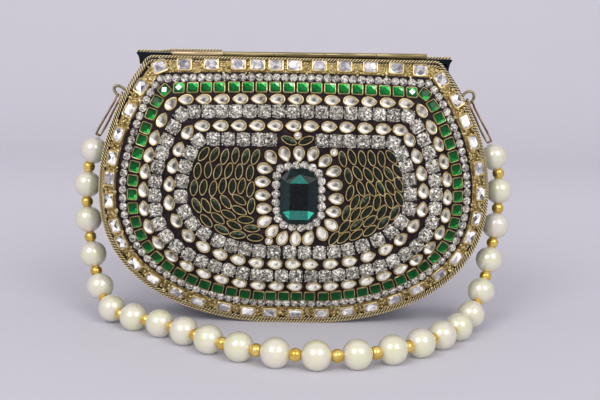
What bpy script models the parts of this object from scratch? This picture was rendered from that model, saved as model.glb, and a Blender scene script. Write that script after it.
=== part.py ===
"""Clutch bag: a stiff metal bag with a D-shaped outline, set stones, a hinged lid and a pearl strand.

Metres, +Z up. The bag stands on a small flat at the middle of its round bottom, with that flat's
middle at the origin, and its front faces -Y. The lid turns up about the hinge at the top front edge,
and the strand with its two hooks swings about the wire eyes on the shoulders.
"""

import math
from functools import lru_cache

import bmesh
import bpy
import numpy as np
from mathutils import Matrix, Vector

# Shell
bag_width = 0.1846
bag_height = 0.125
bag_depth = 0.036  # outer face of the front sheet at its rim to that of the back sheet
widest_height = 0.063
shoulder_taper = 0.0241  # how much each side draws in from the widest height to the top
bottom_roundness = 2.3  # exponent of the superellipse below the widest height
foot_cut = 0.0004  # depth of the flat that the bag stands on
sheet = 0.001
front_rise = 0.012  # of the pillow-shaped front beyond its rim
back_rise = 0.003
dome_reach = 0.030  # distance from the rope edging at which a panel turns flat
dome_power = 1.5
dome_ring_shares = (1.0, 0.966, 0.90, 0.82, 0.74, 0.65, 0.54)
top_corner_radius = 0.0035
rim_inset = 0.0006
clearance = 0.0003
outline_steps = 22
corner_steps = 5
side_turn = 7.0  # degrees by which one straight side of a wall may turn from the last
longest_side = 0.013

# Rope edging
rope_radius = 0.00115
rope_lift = 0.0001  # keeps the ropes off the floor, so that the band carries the bag

# Lining
lining_wall = 0.0008
lining_side_gap = 0.0004
lining_face_inset = 0.0026  # from the outer face of each sheet's rim to the lining
lining_top_drop = 0.008

# Lid
lid_overhang = 0.0062  # of the lid's top beyond the bag's own top edge, each side
lid_plate = 0.0012
lid_front_gap = 0.00035
lid_rear_overhang = 0.0010
lid_skirt_drop = 0.0052
lid_skirt_wall = 0.0008
lid_cove_share = 0.35  # of the skirt's overhang that is left at half its height
lid_wire_radius = 0.0006
lid_wire_inset = 0.0007
lid_wire_corner = 0.0018
tab_width = 0.016
tab_reach = 0.0046
tab_drop = 0.0002  # of its top below the lid's
tab_neck = 0.0010
tab_corner = 0.0016
tab_thickness = 0.0008

# Hinge
hinge_end_inset = 0.0092  # from each end of the bag's top edge to the hinge
hinge_knuckles = 5
knuckle_radius = 0.00105
knuckle_gap = 0.0003
pin_radius = 0.0005
pin_play = 0.00015
pin_overrun = 0.0004
leaf_thickness = 0.0005
leaf_depth = 0.009
hinge_rise = 0.0022  # of the hinge axis above the bag's top edge

# Catch
magnet_radius = 0.004
magnet_thickness = 0.002
magnet_back = 0.0105  # from the inner face of the back sheet to the magnet's axis
keeper_width = 0.011
keeper_thickness = 0.0008
keeper_foot = 0.006

# Strap eyes and hooks
eye_drop = 0.0181  # from the bag's top edge to the point on the band where an eye is soldered
eye_radius = 0.0032
eye_wire_radius = 0.0005
hook_wire_radius = 0.00045
hook_bend_radius = 0.0013
hook_tail_drop = 0.0034
hook_tail_reach = 0.0017
hook_leg_reach = 0.0110
hook_leg_drop = 0.0188
hook_catch_reach = 0.0063
hook_catch_drop = 0.0028
hook_bend_steps = 6
hook_tail_shares = ((1.0, 0.25, 1.0), (0.5, 0.25, 0.7), (0.0, 0.0, 0.3))
hook_leg_shares = ((0.05, 1.0, 0.09), (0.32, 1.0, 0.34), (0.68, 0.7, 0.70), (0.88, 0.4, 0.90))
hook_tip_shares = ((-0.5, 0.1, 0.5), (0.0, -0.2, 0.0), (0.7, -0.5, 0.6), (1.0, -0.7, 2.4))

# Strand
pearl_diameter = 0.012
pearl_bore_radius = 0.0009
pearl_profile_steps = 5
path_steps = 12
pearl_turn_steps = 12
spacer_radius = 0.0025
spacer_full_share = 0.3  # of its length, either way from its middle, that a spacer has its full radius
cord_radius = 0.0005
bead_gap = 0.0003

# Route of the strand between the hooks' tips, by way of the floor in front of the bag: X and Y as shares
# of the bag's half width, and height as a share of the way from a pearl's place on the floor to the tips
strand_route_shares = [
    (-1.0700, 0.0070, 0.9140),
    (-1.0964, 0.0087, 0.6886),
    (-1.0856, -0.0043, 0.4725),
    (-1.0553, -0.0379, 0.2664),
    (-1.0054, -0.1192, 0.0879),
    (-0.9274, -0.2622, 0.0025),
    (-0.7963, -0.3879, 0.0000),
    (-0.6501, -0.5027, 0.0000),
    (-0.5200, -0.6381, 0.0000),
    (-0.3987, -0.7811, 0.0000),
    (-0.2535, -0.8960, 0.0000),
    (-0.0856, -0.9837, 0.0000),
    (0.0997, -1.0195, 0.0000),
    (0.2860, -0.9935, 0.0000),
    (0.4529, -0.9090, 0.0000),
    (0.5980, -0.7876, 0.0000),
    (0.7172, -0.6446, 0.0000),
    (0.8234, -0.4930, 0.0000),
    (0.9112, -0.3348, 0.0226),
    (0.9881, -0.1907, 0.1282),
    (1.0412, -0.0997, 0.3053),
    (1.0769, -0.0455, 0.5127),
    (1.0964, -0.0108, 0.7238),
    (1.0740, 0.0070, 0.9240),
]
strand_end_gap = 0.0066  # from the cord's end in a hook to the middle of the nearest pearl
pearl_count = 24

# Stone rows on the front panel, from the edge inwards: each row's width and height, its number of stones
# and its gap from the row or edging outside it at the sides, the bottom and the top
border_row = dict(width=0.0044, height=0.0019, stones=43, side=0.0007, bottom=0.0007, top=0.0003)
small_row = dict(width=0.0027, height=0.0016, stones=112, side=0.00295, bottom=0.00115, top=0.00035)
green_row = dict(width=0.0050, height=0.0017, stones=74, side=0.00105, bottom=0.00065, top=0.0003)
outer_drop_row = dict(width=0.0052, height=0.0021, stones=52, side=0.0003, bottom=0.0003, top=0.0004)
outer_round_row = dict(width=0.0054, height=0.0026, stones=54, side=0.0003, bottom=0.0003, top=0.0004)
inner_drop_row = dict(width=0.0052, height=0.0021, stones=38, side=0.0006, bottom=0.0003, top=0.0005)
inner_round_row = dict(width=0.0052, height=0.0026, stones=38, side=0.0005, bottom=0.0003, top=0.0008)
stone_rows = (
    ("border_crystal_row", border_row),
    ("small_rhinestone_row", small_row),
    ("green_stone_row", green_row),
    ("outer_teardrop_row", outer_drop_row),
    ("outer_rhinestone_row", outer_round_row),
    ("inner_teardrop_row", inner_drop_row),
    ("inner_rhinestone_row", inner_round_row),
)
row_corner = 0.004
row_base_gap = clearance
between_stones_width_share = 0.45
between_stones_height_share = 0.45
flat_top_share = 0.72

# Leaf-stone fields inside the rows
field_gap = 0.0016  # from the innermost row to a field
field_end_gap = 0.0010  # more at a field's top and bottom, where its corners are cut square
field_height = 0.0009
field_leaf_height = 0.0016
field_columns = 7
field_rows = 12

# Centre ornament, which fills the space inside the rows. Its half length is worked out from that space,
# and the other sizes across and along are shares of the half length of the halo's middle line
ornament_x = 0.0017
ornament_bottom_gap = 0.0004
ornament_top_gap = 0.0010
halo_drop_share = 0.32
halo_width_share = 0.855
halo_roundness = 2.6
halo_height = 0.0021
halo_stones = 20
chain_length_share = 0.72
chain_width_share = 0.5275
chain_bead_share = 0.16
chain_roundness = 3.6
chain_height = 0.0018
chain_stones = 22
stone_length_share = 0.625
stone_width_share = 0.4175
stone_corner_share = 0.26
stone_front = 0.0052  # of the table, ahead of the panel
stone_girdle = 0.0028
stone_back = 0.0015
stone_table_share = 0.62
stone_back_share = 0.93
seat_height = 0.0012

tiny = 1e-9


def clear_scene():
    for old in list(bpy.data.objects):
        bpy.data.objects.remove(old, do_unlink=True)


def new_collection(name):
    made = bpy.data.collections.new(name)
    bpy.context.scene.collection.children.link(made)
    return made


def finish_material(name, colour, roughness, metallic):
    made = bpy.data.materials.new(name)
    made.use_nodes = True
    shader = made.node_tree.nodes["Principled BSDF"]
    shader.inputs["Base Color"].default_value = (*colour, 1.0)
    shader.inputs["Roughness"].default_value = roughness
    shader.inputs["Metallic"].default_value = metallic
    return made


def add_object(name, data, material, parent=None):
    """Links one sub-part. Its data are in world coordinates, less the parent's own place."""
    made = bpy.data.objects.new(name, data)
    bag.objects.link(made)
    if not data.materials:
        data.materials.append(material)
    if parent:
        made.parent = parent
    return made


def mesh_from(name, builder, smooth=False):
    mesh = bpy.data.meshes.new(name)
    bm = bmesh.new()
    builder(bm)
    bmesh.ops.recalc_face_normals(bm, faces=bm.faces)
    bm.to_mesh(mesh)
    bm.free()
    if smooth:
        mesh.shade_smooth()
        mesh.set_sharp_from_angle(angle=math.radians(40))
    return mesh


def loft(bm, rings, closed_loop):
    """Joins rings of equal vertex counts with quads, and caps the ends unless the loop closes."""
    made = [[bm.verts.new(point) for point in ring] for ring in rings]
    count = len(made[0])
    last = len(made) if closed_loop else len(made) - 1
    for i in range(last):
        here = made[i]
        after = made[(i + 1) % len(made)]
        for k in range(count):
            bm.faces.new((here[k], here[(k + 1) % count], after[(k + 1) % count], after[k]))
    if not closed_loop:
        bm.faces.new(made[0])
        bm.faces.new(made[-1])


def half_profile():
    """Right half of the outline from the middle of the foot upwards, run on a little past the top."""
    half = bag_width / 2
    lowest = widest_height + foot_cut
    points = []
    fine = 8 * outline_steps
    for i in range(fine + 1):
        angle = math.pi / 2 * (1 - i / fine)
        x = half * max(math.cos(angle), 0.0) ** (2 / bottom_roundness)
        z = widest_height - lowest * math.sin(angle) ** (2 / bottom_roundness)
        points.append((x, z))
    for i in range(1, fine + fine // 8):
        rise = i / fine
        points.append((half - shoulder_taper * rise**2, widest_height + rise * (bag_height - widest_height)))
    return points


def half_width_at(z):
    """Half the bag's width at height z."""
    half = bag_width / 2
    if z >= widest_height:
        return half - shoulder_taper * ((z - widest_height) / (bag_height - widest_height)) ** 2
    depth_share = min((widest_height - z) / (widest_height + foot_cut), 1.0)
    return half * (1 - depth_share**bottom_roundness) ** (1 / bottom_roundness)


def shoulder_slope(z):
    return 2 * shoulder_taper * (z - widest_height) / (bag_height - widest_height) ** 2


def half_loop(side, bottom, top, corner):
    """Right half of a loop inside the outline: the outline moved in by side at the sides and by bottom
    at the bottom, cut level at top below the bag's top edge, with its corner rounded."""
    profile = half_profile()
    level = bag_height - top
    moved = []
    for i, (x, z) in enumerate(profile):
        before = profile[max(i - 1, 0)]
        after = profile[min(i + 1, len(profile) - 1)]
        along = Vector((after[0] - before[0], after[1] - before[1])).normalized()
        outward = Vector((along.y, -along.x))
        down_share = outward.y**2 if outward.y < 0 else 0.0
        inset = side * (1 - down_share) + bottom * down_share
        point = Vector((max(x - inset * outward.x, 0.0), max(z, 0.0) - inset * outward.y))
        point.y = max(point.y, bottom)
        if moved and point.y < moved[-1].y + tiny and point.x < moved[-1].x + tiny:
            continue
        if point.y >= level:
            share = (level - moved[-1].y) / (point.y - moved[-1].y)
            moved.append(moved[-1].lerp(point, share))
            break
        moved.append(point)
    peak = moved[-1].copy()
    kept = [point for point in moved if (point - peak).length > corner]
    start = kept[-1]
    end = Vector((peak.x - corner, level))
    for i in range(1, corner_steps + 1):
        t = i / corner_steps
        kept.append(start * (1 - t) ** 2 + peak * (2 * t * (1 - t)) + end * t**2)
    kept.append(Vector((0.0, level)))
    return kept


def whole_loop(side, bottom, top, corner):
    right = half_loop(side, bottom, top, corner)
    left = [Vector((-point.x, point.y)) for point in reversed(right[1:-1])]
    return right + left


def even_points(points, count, closed_loop=True):
    """The path cut into equal steps."""
    path = np.array([tuple(point) for point in points])
    if closed_loop:
        path = np.vstack([path, path[:1]])
    steps = np.linalg.norm(np.diff(path, axis=0), axis=1)
    run = np.concatenate([[0.0], np.cumsum(steps)])
    wanted = np.linspace(0.0, run[-1], count + 1 if closed_loop else count)
    if closed_loop:
        wanted = wanted[:-1]
    columns = [np.interp(wanted, run, path[:, axis]) for axis in range(path.shape[1])]
    return [Vector(row) for row in np.stack(columns, axis=1)]


def fewer_points(points):
    """Drops points of a closed path where it stays nearly straight."""
    kept = [points[0]]
    heading = None
    for i in range(1, len(points)):
        step = points[i] - points[i - 1]
        if step.length < tiny:
            continue
        if heading is None:
            heading = step
        turned = math.degrees(heading.angle(step))
        if turned > side_turn or (points[i] - kept[-1]).length > longest_side:
            kept.append(points[i])
            heading = step
    return kept


@lru_cache(maxsize=None)
def rim_segments():
    """Starts and steps of the outline's right half, for distances to it."""
    points = np.array(half_profile())
    return points[:-1], np.diff(points, axis=0)


def rim_distance(x, z):
    """Distance from a place to the sides and bottom of the outline."""
    starts, steps = rim_segments()
    away = np.array((abs(x), z)) - starts
    shares = np.clip((away * steps).sum(axis=1) / (steps**2).sum(axis=1), 0.0, 1.0)
    return float(np.linalg.norm(away - steps * shares[:, None], axis=1).min())


def dome(x, z):
    """How far a panel stands out at a place, as a share of its rise. It is flat under the rope edging,
    rises steeply at first from there, and is level again at dome_reach."""
    made = 1.0
    for distance in (rim_distance(x, z), bag_height - z):
        inside = max(distance - 2 * rope_radius - rope_lift, 0.0)
        made *= 1 - (1 - min(inside / dome_reach, 1.0)) ** dome_power
    return made


def front_y(x, z):
    return -bag_depth / 2 - front_rise * dome(x, z)


def panel_mesh(name, rise):
    """Outer face of a panel: loops that shrink towards the middle, over the dome."""
    rim = fewer_points(whole_loop(rim_inset, rim_inset, rim_inset, top_corner_radius))
    middle = Vector((0.0, bag_height / 2))

    def build(bm):
        rings = []
        for share in dome_ring_shares:
            ring = []
            for point in rim:
                place = middle.lerp(point, share)
                y = -bag_depth / 2 - rise * dome(place.x, place.y)
                ring.append(bm.verts.new((place.x, y, place.y)))
            rings.append(ring)
        count = len(rim)
        for outer, inner in zip(rings, rings[1:]):
            for k in range(count):
                bm.faces.new((outer[k], outer[(k + 1) % count], inner[(k + 1) % count], inner[k]))
        top = bm.verts.new((middle.x, -bag_depth / 2 - rise * dome(middle.x, middle.y), middle.y))
        for k in range(count):
            bm.faces.new((rings[-1][k], rings[-1][(k + 1) % count], top))

    return mesh_from(name, build, smooth=True)


def make_panels(material):
    for name, rise, turn in (("front_panel", front_rise, 0.0), ("back_panel", back_rise, math.pi)):
        panel = add_object(name, panel_mesh(name, rise), material)
        panel.rotation_euler = (0.0, 0.0, turn)
        wall = panel.modifiers.new("sheet", "SOLIDIFY")
        wall.thickness = sheet
        wall.offset = -1.0
        wall.use_even_offset = True


def band_outline(inset, top):
    """U-shaped path round both sides and the bottom, from the upper left end to the upper right."""
    level = bag_height - top
    side = [point for point in half_profile() if point[1] < level]
    path = [Vector((x, max(z, 0.0))) for x, z in side]
    path.append(Vector((half_width_at(level), level)))
    path = fewer_points(path) + [path[-1]]
    return [Vector((-point.x, point.y)) for point in reversed(path[1:])] + path


def make_band(material):
    """The strip between the panels, open at the top."""
    path = band_outline(0.0, 0.0)
    half_depth = bag_depth / 2 - sheet - clearance

    def build(bm):
        rows = [[bm.verts.new((p.x, side * half_depth, p.y)) for p in path] for side in (-1, 1)]
        for k in range(len(path) - 1):
            bm.faces.new((rows[0][k], rows[0][k + 1], rows[1][k + 1], rows[1][k]))

    band = add_object("side_band", mesh_from("band", build), material)
    wall = band.modifiers.new("sheet", "SOLIDIFY")
    wall.thickness = sheet
    wall.offset = -1.0
    wall.use_even_offset = True
    return band


def poly_tube(name, points, radius, sides_step, closed_loop=False, radii=None):
    """A curve object swept round a path of straight steps."""
    curve = bpy.data.curves.new(name, "CURVE")
    curve.dimensions = "3D"
    curve.bevel_depth = radius
    curve.bevel_resolution = sides_step
    curve.use_fill_caps = not closed_loop
    spline = curve.splines.new("POLY")
    spline.points.add(len(points) - 1)
    for i, point in enumerate(points):
        spline.points[i].co = (*point, 1.0)
        if radii:
            spline.points[i].radius = radii[i] / radius
    spline.use_cyclic_u = closed_loop
    spline.use_smooth = True
    return curve


def make_ropes(material):
    inset = rope_radius + rope_lift
    path = fewer_points(whole_loop(inset, inset, inset, top_corner_radius - inset))
    away = bag_depth / 2 + clearance + rope_radius
    for name, y in (("front_rope_edging", -away), ("back_rope_edging", away)):
        points = [(point.x, y, point.y) for point in path]
        add_object(name, poly_tube(name, points, rope_radius, 1, closed_loop=True), material)


def make_lining(material):
    """An open pouch: a solid between two loops, deeper than the bag is thick only at its own walls."""
    half_depth = bag_depth / 2 - lining_face_inset
    side = sheet + lining_side_gap

    def pouch_path(extra):
        top = bag_height - lining_top_drop
        right = [p for p in half_loop(side + extra, side + extra, 0.0, tiny) if p.x > 0]
        right = [p for p in right if p.y < top]
        right.append(Vector((half_width_at(top) - (side + extra) * math.hypot(1, shoulder_slope(top)), top)))
        right.insert(0, Vector((0.0, side + extra)))
        path = fewer_points(right) + [right[-1]]
        return [Vector((-p.x, p.y)) for p in reversed(path[1:])] + path

    def build(bm):
        path = pouch_path(0.0)
        rows = [[bm.verts.new((p.x, side_sign * half_depth, p.y)) for p in path] for side_sign in (-1, 1)]
        for k in range(len(path) - 1):
            bm.faces.new((rows[0][k], rows[0][k + 1], rows[1][k + 1], rows[1][k]))
        bm.faces.new(rows[0])
        bm.faces.new(rows[1])

    lining = add_object("lining", mesh_from("lining", build), material)
    wall = lining.modifiers.new("fabric", "SOLIDIFY")
    wall.thickness = lining_wall
    wall.offset = -1.0
    wall.use_even_offset = True
    return lining


def hinge_axis():
    """Y and Z of the hinge line: the body leaf lies behind the front sheet, and the tube over it."""
    leaf_back = -bag_depth / 2 + sheet + clearance + leaf_thickness
    return leaf_back - knuckle_radius, bag_height + hinge_rise


def lid_half_width():
    return half_width_at(bag_height) + lid_overhang


def hinge_half_length():
    return half_width_at(bag_height) - hinge_end_inset


def lid_front():
    return -bag_depth / 2 + sheet + clearance + leaf_thickness + lid_front_gap


def make_lid(material, parent):
    """Plate over the whole top, with a hollow-curved skirt down the outside of each shoulder."""
    bottom = bag_height + clearance
    top = bottom + lid_plate
    skirt_end = top - lid_skirt_drop
    band_half = half_width_at(skirt_end)
    inner_foot = band_half + clearance * 2
    outer_foot = inner_foot + lid_skirt_wall
    cove_x = outer_foot + (lid_half_width() - outer_foot) * lid_cove_share
    cove_z = skirt_end + (top - skirt_end) / 2
    right = [
        (lid_half_width(), top),
        (cove_x, cove_z),
        (outer_foot, skirt_end),
        (inner_foot, skirt_end),
        (inner_foot, bottom),
    ]
    outline = right + [(-x, z) for x, z in reversed(right)]
    rear = bag_depth / 2 - sheet - clearance

    def build(bm):
        loft(bm, [[(x, y, z) for x, z in outline] for y in (lid_front(), rear)], False)

    lid = add_object("lid_plate", mesh_from("lid", build), material, parent)
    return lid, top, rear


def make_lid_wire(material, parent, top, rear):
    """Wire on the lid's top edge, from one end of the hinge round the back to the other end."""
    z = top + clearance + lid_wire_radius
    x = lid_half_width() - lid_wire_inset - lid_wire_radius
    front = lid_front() + lid_wire_radius
    back = rear - lid_wire_inset
    start = hinge_half_length() + pin_overrun + 2 * lid_wire_radius
    corner = lid_wire_corner
    half = [
        (start, front),
        (x - corner, front),
        (x, front + corner),
        (x, back - corner),
        (x - corner, back),
    ]
    points = [(px, y, z) for px, y in half] + [(-px, y, z) for px, y in reversed(half)]
    add_object("lid_wire", poly_tube("lid_wire", points, lid_wire_radius, 1), material, parent)


def make_tab(material, parent, rear, top):
    """Lift tab: a small tongue behind the lid's back edge, over the rim of the back panel."""
    high = top - tab_drop
    low = high - tab_thickness
    start = rear + clearance
    half = tab_width / 2
    neck = half - tab_neck
    shoulder = start + tab_reach - tab_corner
    outline = [
        (-neck, start),
        (-half, start + tab_neck),
        (-half, shoulder),
        (-half + tab_corner, start + tab_reach),
        (half - tab_corner, start + tab_reach),
        (half, shoulder),
        (half, start + tab_neck),
        (neck, start),
    ]

    def build(bm):
        loft(bm, [[(x, y, z) for x, y in outline] for z in (low, high)], False)

    add_object("lift_tab", mesh_from("tab", build), material, parent)


def cylinder_along_x(bm, radius, start, end, y, z, segments):
    made = bmesh.ops.create_cone(
        bm,
        cap_ends=True,
        segments=segments,
        radius1=radius,
        radius2=radius,
        depth=end - start,
        matrix=Matrix.Translation(((start + end) / 2, y, z)) @ Matrix.Rotation(math.pi / 2, 4, "Y"),
    )
    return made


def box_between(bm, low, high):
    middle = [(a + b) / 2 for a, b in zip(low, high)]
    sizes = [b - a for a, b in zip(low, high)]
    bmesh.ops.create_cube(
        bm, size=1.0, matrix=Matrix.Translation(middle) @ Matrix.Diagonal((*sizes, 1.0))
    )


def helper_object(name, builder):
    """A cutter or a joined shape: hidden, and left out of the parts."""
    made = bpy.data.objects.new(name, mesh_from(name, builder))
    cutters.objects.link(made)
    made.hide_render = True
    made.display_type = "WIRE"
    return made


def knuckle_spans():
    """Start and end of each knuckle along X."""
    pitch = 2 * hinge_half_length() / hinge_knuckles
    start = -hinge_half_length()
    return [
        (start + i * pitch + knuckle_gap / 2, start + (i + 1) * pitch - knuckle_gap / 2)
        for i in range(hinge_knuckles)
    ]


def make_hinge(material, pin_material, lid_pivot, lid_top):
    y, z = hinge_axis()
    spans = knuckle_spans()
    half = hinge_half_length()
    bore_cutter = helper_object(
        "hinge_bore",
        lambda bm: cylinder_along_x(bm, pin_radius + pin_play, -half - sheet, half + sheet, y, z, 12),
    )

    def leaf(name, fixed, strip_low, strip_high, tongue_low, tongue_high, parent):
        own = spans[0::2] if fixed else spans[1::2]

        def strip(bm):
            box_between(bm, strip_low, strip_high)

        made = add_object(name, mesh_from(name, strip), material, parent)
        for i, (start, end) in enumerate(own):

            def tube(bm, start=start, end=end):
                cylinder_along_x(bm, knuckle_radius, start, end, y, z, 16)

            def tongue(bm, start=start, end=end):
                box_between(bm, (start, *tongue_low), (end, *tongue_high))

            for kind, builder in (("tongue", tongue), ("tube", tube)):
                joined = made.modifiers.new(f"{kind}_{i}", "BOOLEAN")
                joined.operation = "UNION"
                joined.object = helper_object(f"{name}_{kind}_{i}", builder)
        bore = made.modifiers.new("bore", "BOOLEAN")
        bore.operation = "DIFFERENCE"
        bore.object = bore_cutter
        return made

    leaf_back = y + knuckle_radius
    leaf_front = leaf_back - leaf_thickness
    swept = knuckle_radius + clearance
    leaf(
        "hinge_body_leaf",
        True,
        (-half, leaf_front, z - swept - leaf_depth),
        (half, leaf_back, z - swept),
        (leaf_front, z - swept - leaf_thickness),
        (leaf_back, z),
        None,
    )
    plate_bottom = lid_top + clearance
    plate_top = plate_bottom + leaf_thickness
    leaf(
        "hinge_lid_leaf",
        False,
        (-half, y + swept, plate_bottom),
        (half, y + swept + leaf_depth, plate_top),
        (y + pin_radius + pin_play + leaf_thickness / 4, plate_bottom),
        (y + swept + leaf_thickness, plate_top),
        lid_pivot,
    )

    def pin(bm):
        cylinder_along_x(bm, pin_radius, -half - pin_overrun, half + pin_overrun, y, z, 12)

    add_object("hinge_pin", mesh_from("pin", pin, smooth=True), pin_material)


def make_catch(magnet_material, keeper_material, lid_pivot):
    """A magnet under the lid and a bracket on the back panel that it rests above."""
    wall_y = bag_depth / 2 - sheet - clearance
    magnet_y = wall_y - magnet_back
    magnet_top = bag_height
    shelf_top = magnet_top - magnet_thickness - clearance

    def magnet(bm):
        bmesh.ops.create_cone(
            bm,
            cap_ends=True,
            segments=16,
            radius1=magnet_radius,
            radius2=magnet_radius,
            depth=magnet_thickness,
            matrix=Matrix.Translation((0.0, magnet_y, magnet_top - magnet_thickness / 2)),
        )

    add_object("catch_magnet", mesh_from("magnet", magnet, smooth=True), magnet_material, lid_pivot)
    shelf_front = magnet_y - magnet_radius
    side = [
        (shelf_front, shelf_top),
        (shelf_front, shelf_top - keeper_thickness),
        (wall_y - keeper_thickness, shelf_top - keeper_thickness),
        (wall_y - keeper_thickness, shelf_top - keeper_foot),
        (wall_y, shelf_top - keeper_foot),
        (wall_y, shelf_top),
    ]

    def keeper(bm):
        half = keeper_width / 2
        loft(bm, [[(x, y, z) for y, z in side] for x in (-half, half)], False)

    add_object("catch_keeper", mesh_from("keeper", keeper), keeper_material)


def eye_centre():
    """X and Z of the right eye's middle: the ring stands on the band's slanted shoulder."""
    height = bag_height - eye_drop
    slope = shoulder_slope(height)
    away = eye_radius + eye_wire_radius + clearance
    length = math.hypot(1.0, slope)
    return half_width_at(height) + away / length, height + away * slope / length


def make_eyes(material):
    x, z = eye_centre()
    for name, sign in (("left_strap_eye", -1), ("right_strap_eye", 1)):
        bpy.ops.mesh.primitive_torus_add(
            major_segments=20,
            minor_segments=8,
            major_radius=eye_radius,
            minor_radius=eye_wire_radius,
            location=(sign * x, 0.0, z),
            rotation=(math.pi / 2, 0.0, 0.0),
        )
        ring = bpy.context.object
        ring.name = name
        ring.data.materials.append(material)
        ring.data.shade_smooth()
        for holder in list(ring.users_collection):
            holder.objects.unlink(ring)
        bag.objects.link(ring)


def smooth_path(points, per_span):
    """Catmull-Rom curve through the points."""
    path = [Vector(point) for point in points]
    ends = [2 * path[0] - path[1], *path, 2 * path[-1] - path[-2]]
    made = []
    for i in range(1, len(ends) - 2):
        a, b, c, d = ends[i - 1 : i + 3]
        for k in range(per_span):
            t = k / per_span
            made.append(
                (b * 2 + (c - a) * t + (a * 2 - b * 5 + c * 4 - d) * t**2 + (b * 3 - a - c * 3 + d) * t**3)
                / 2
            )
    made.append(path[-1])
    return made


def hook_points():
    """Right hook, from its short tail over the eye's wire, down one leg, round the tip and up the other
    leg to the catch. Written as (out, Y, up) from the lowest point of the eye."""
    bend = hook_bend_radius
    wide = 2 * hook_wire_radius
    points = [
        (hook_tail_reach * out_share, -bend - wide * aside_share, -hook_tail_drop * down_share)
        for out_share, aside_share, down_share in hook_tail_shares
    ]
    for step in range(hook_bend_steps + 1):
        turn = math.pi * step / hook_bend_steps
        points.append((0.0, -bend * math.cos(turn), bend * math.sin(turn)))
    for out_share, y_share, down_share in hook_leg_shares:
        points.append((hook_leg_reach * out_share, bend * y_share, -hook_leg_drop * down_share))
    for out_share, y_share, up_share in hook_tip_shares:
        points.append((hook_leg_reach + wide * out_share, bend * y_share, -hook_leg_drop + wide * up_share))
    points.append((hook_catch_reach, -bend, -hook_catch_drop))
    return points


def make_hooks(material, pivot):
    x, z = eye_centre()
    lowest = z - eye_radius
    for name, sign in (("left_hook", -1), ("right_hook", 1)):
        points = [
            (sign * (x + out), y, lowest + up - pivot.location.z) for out, y, up in hook_points()
        ]
        add_object(name, poly_tube(name, points, hook_wire_radius, 1), material, pivot)


def strand_route():
    """Points from the left hook's tip to the right one's."""
    x, z = eye_centre()
    tip_x = x + hook_leg_reach + hook_wire_radius
    tip_z = z - eye_radius - hook_leg_drop - hook_wire_radius - cord_radius - clearance
    floor_z = pearl_diameter / 2
    half = bag_width / 2
    between = [
        (half * x_share, half * y_share, floor_z + (tip_z - floor_z) * lift_share)
        for x_share, y_share, lift_share in strand_route_shares
    ]
    return [(-tip_x, 0.0, tip_z), *between, (tip_x, 0.0, tip_z)]


def strand_path():
    """The route as close-set points, with the run along it."""
    path = np.array([tuple(point) for point in smooth_path(strand_route(), path_steps)])
    run = np.concatenate([[0.0], np.cumsum(np.linalg.norm(np.diff(path, axis=0), axis=1))])
    return path, run


def at_run(path, run, distance):
    return Vector([float(np.interp(distance, run, path[:, axis])) for axis in range(3)])


def make_strand(cord_material, pearl_material, pivot):
    """Pearls loose on the cord, and the gold spacers between them as swellings of one long turned piece.
    The spacers are as long as the route leaves room for."""
    path, run = strand_path()
    first = strand_end_gap
    pitch = (run[-1] - 2 * strand_end_gap) / (pearl_count - 1)
    spacer_length = pitch - pearl_diameter - 2 * bead_gap
    radius = pearl_diameter / 2
    arc = math.acos(pearl_bore_radius / radius)
    pearl = bpy.data.meshes.new("pearl")
    points = []
    for i in range(pearl_profile_steps + 1):
        angle = arc - 2 * arc * i / pearl_profile_steps
        points.append((radius * math.cos(angle), 0.0, radius * math.sin(angle)))
    edges = [(i, (i + 1) % len(points)) for i in range(len(points))]
    pearl.from_pydata(points, edges, [])
    pearl.materials.append(pearl_material)
    shift = Vector(pivot.location)
    reach = radius + bead_gap
    for i in range(pearl_count):
        middle = first + i * pitch
        before = at_run(path, run, middle - reach)
        after = at_run(path, run, middle + reach)
        place = (before + after) / 2
        along = after - before
        bead = add_object(f"pearl_{i + 1:02d}", pearl, pearl_material, pivot)
        bead.rotation_mode = "QUATERNION"
        bead.rotation_quaternion = along.to_track_quat("Z", "Y")
        bead.location = place - shift
        turn = bead.modifiers.new("turn", "SCREW")
        turn.steps = pearl_turn_steps
        turn.render_steps = pearl_turn_steps
        turn.use_merge_vertices = True
        turn.merge_threshold = 1e-6
        turn.use_smooth_shade = True

    swelling = (
        (-0.5, cord_radius),
        (-spacer_full_share, spacer_radius),
        (spacer_full_share, spacer_radius),
        (0.5, cord_radius),
    )
    stations = [(0.0, cord_radius), (first - reach, cord_radius)]
    for i in range(pearl_count - 1):
        middle = first + (i + 0.5) * pitch
        stations += [(middle + share * spacer_length, thick) for share, thick in swelling]
    stations += [(first + (pearl_count - 1) * pitch + reach, cord_radius), (float(run[-1]), cord_radius)]
    points = [at_run(path, run, distance) - shift for distance, _ in stations]
    radii = [thick for _, thick in stations]
    tube = poly_tube("strand_cord_with_gold_spacers", points, cord_radius, 2, radii=radii)
    add_object("strand_cord_with_gold_spacers", tube, cord_material, pivot)


def row_sections(loop, width, height, pattern, flat_top):
    """Cross-sections of a low ridge that follows a loop on the front: its two feet, and its top edge or
    the two edges of its flat top. The pattern gives the width and height shares, point by point."""
    count = len(loop)
    rings = []
    for i, point in enumerate(loop):
        along = (loop[(i + 1) % count] - loop[i - 1]).normalized()
        outward = Vector((along.y, -along.x))
        width_share, height_share = pattern[i % len(pattern)]
        half = width / 2 * width_share
        places = [(half, 0.0), (-half, 0.0)]
        if flat_top:
            places += [(-half * flat_top_share, height_share), (half * flat_top_share, height_share)]
        else:
            places.append((0.0, height_share))
        ring = []
        for across, up_share in places:
            spot = point + outward * across
            ring.append((spot.x, front_y(spot.x, spot.y) - row_base_gap - height * up_share, spot.y))
        rings.append(ring)
    return rings


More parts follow.
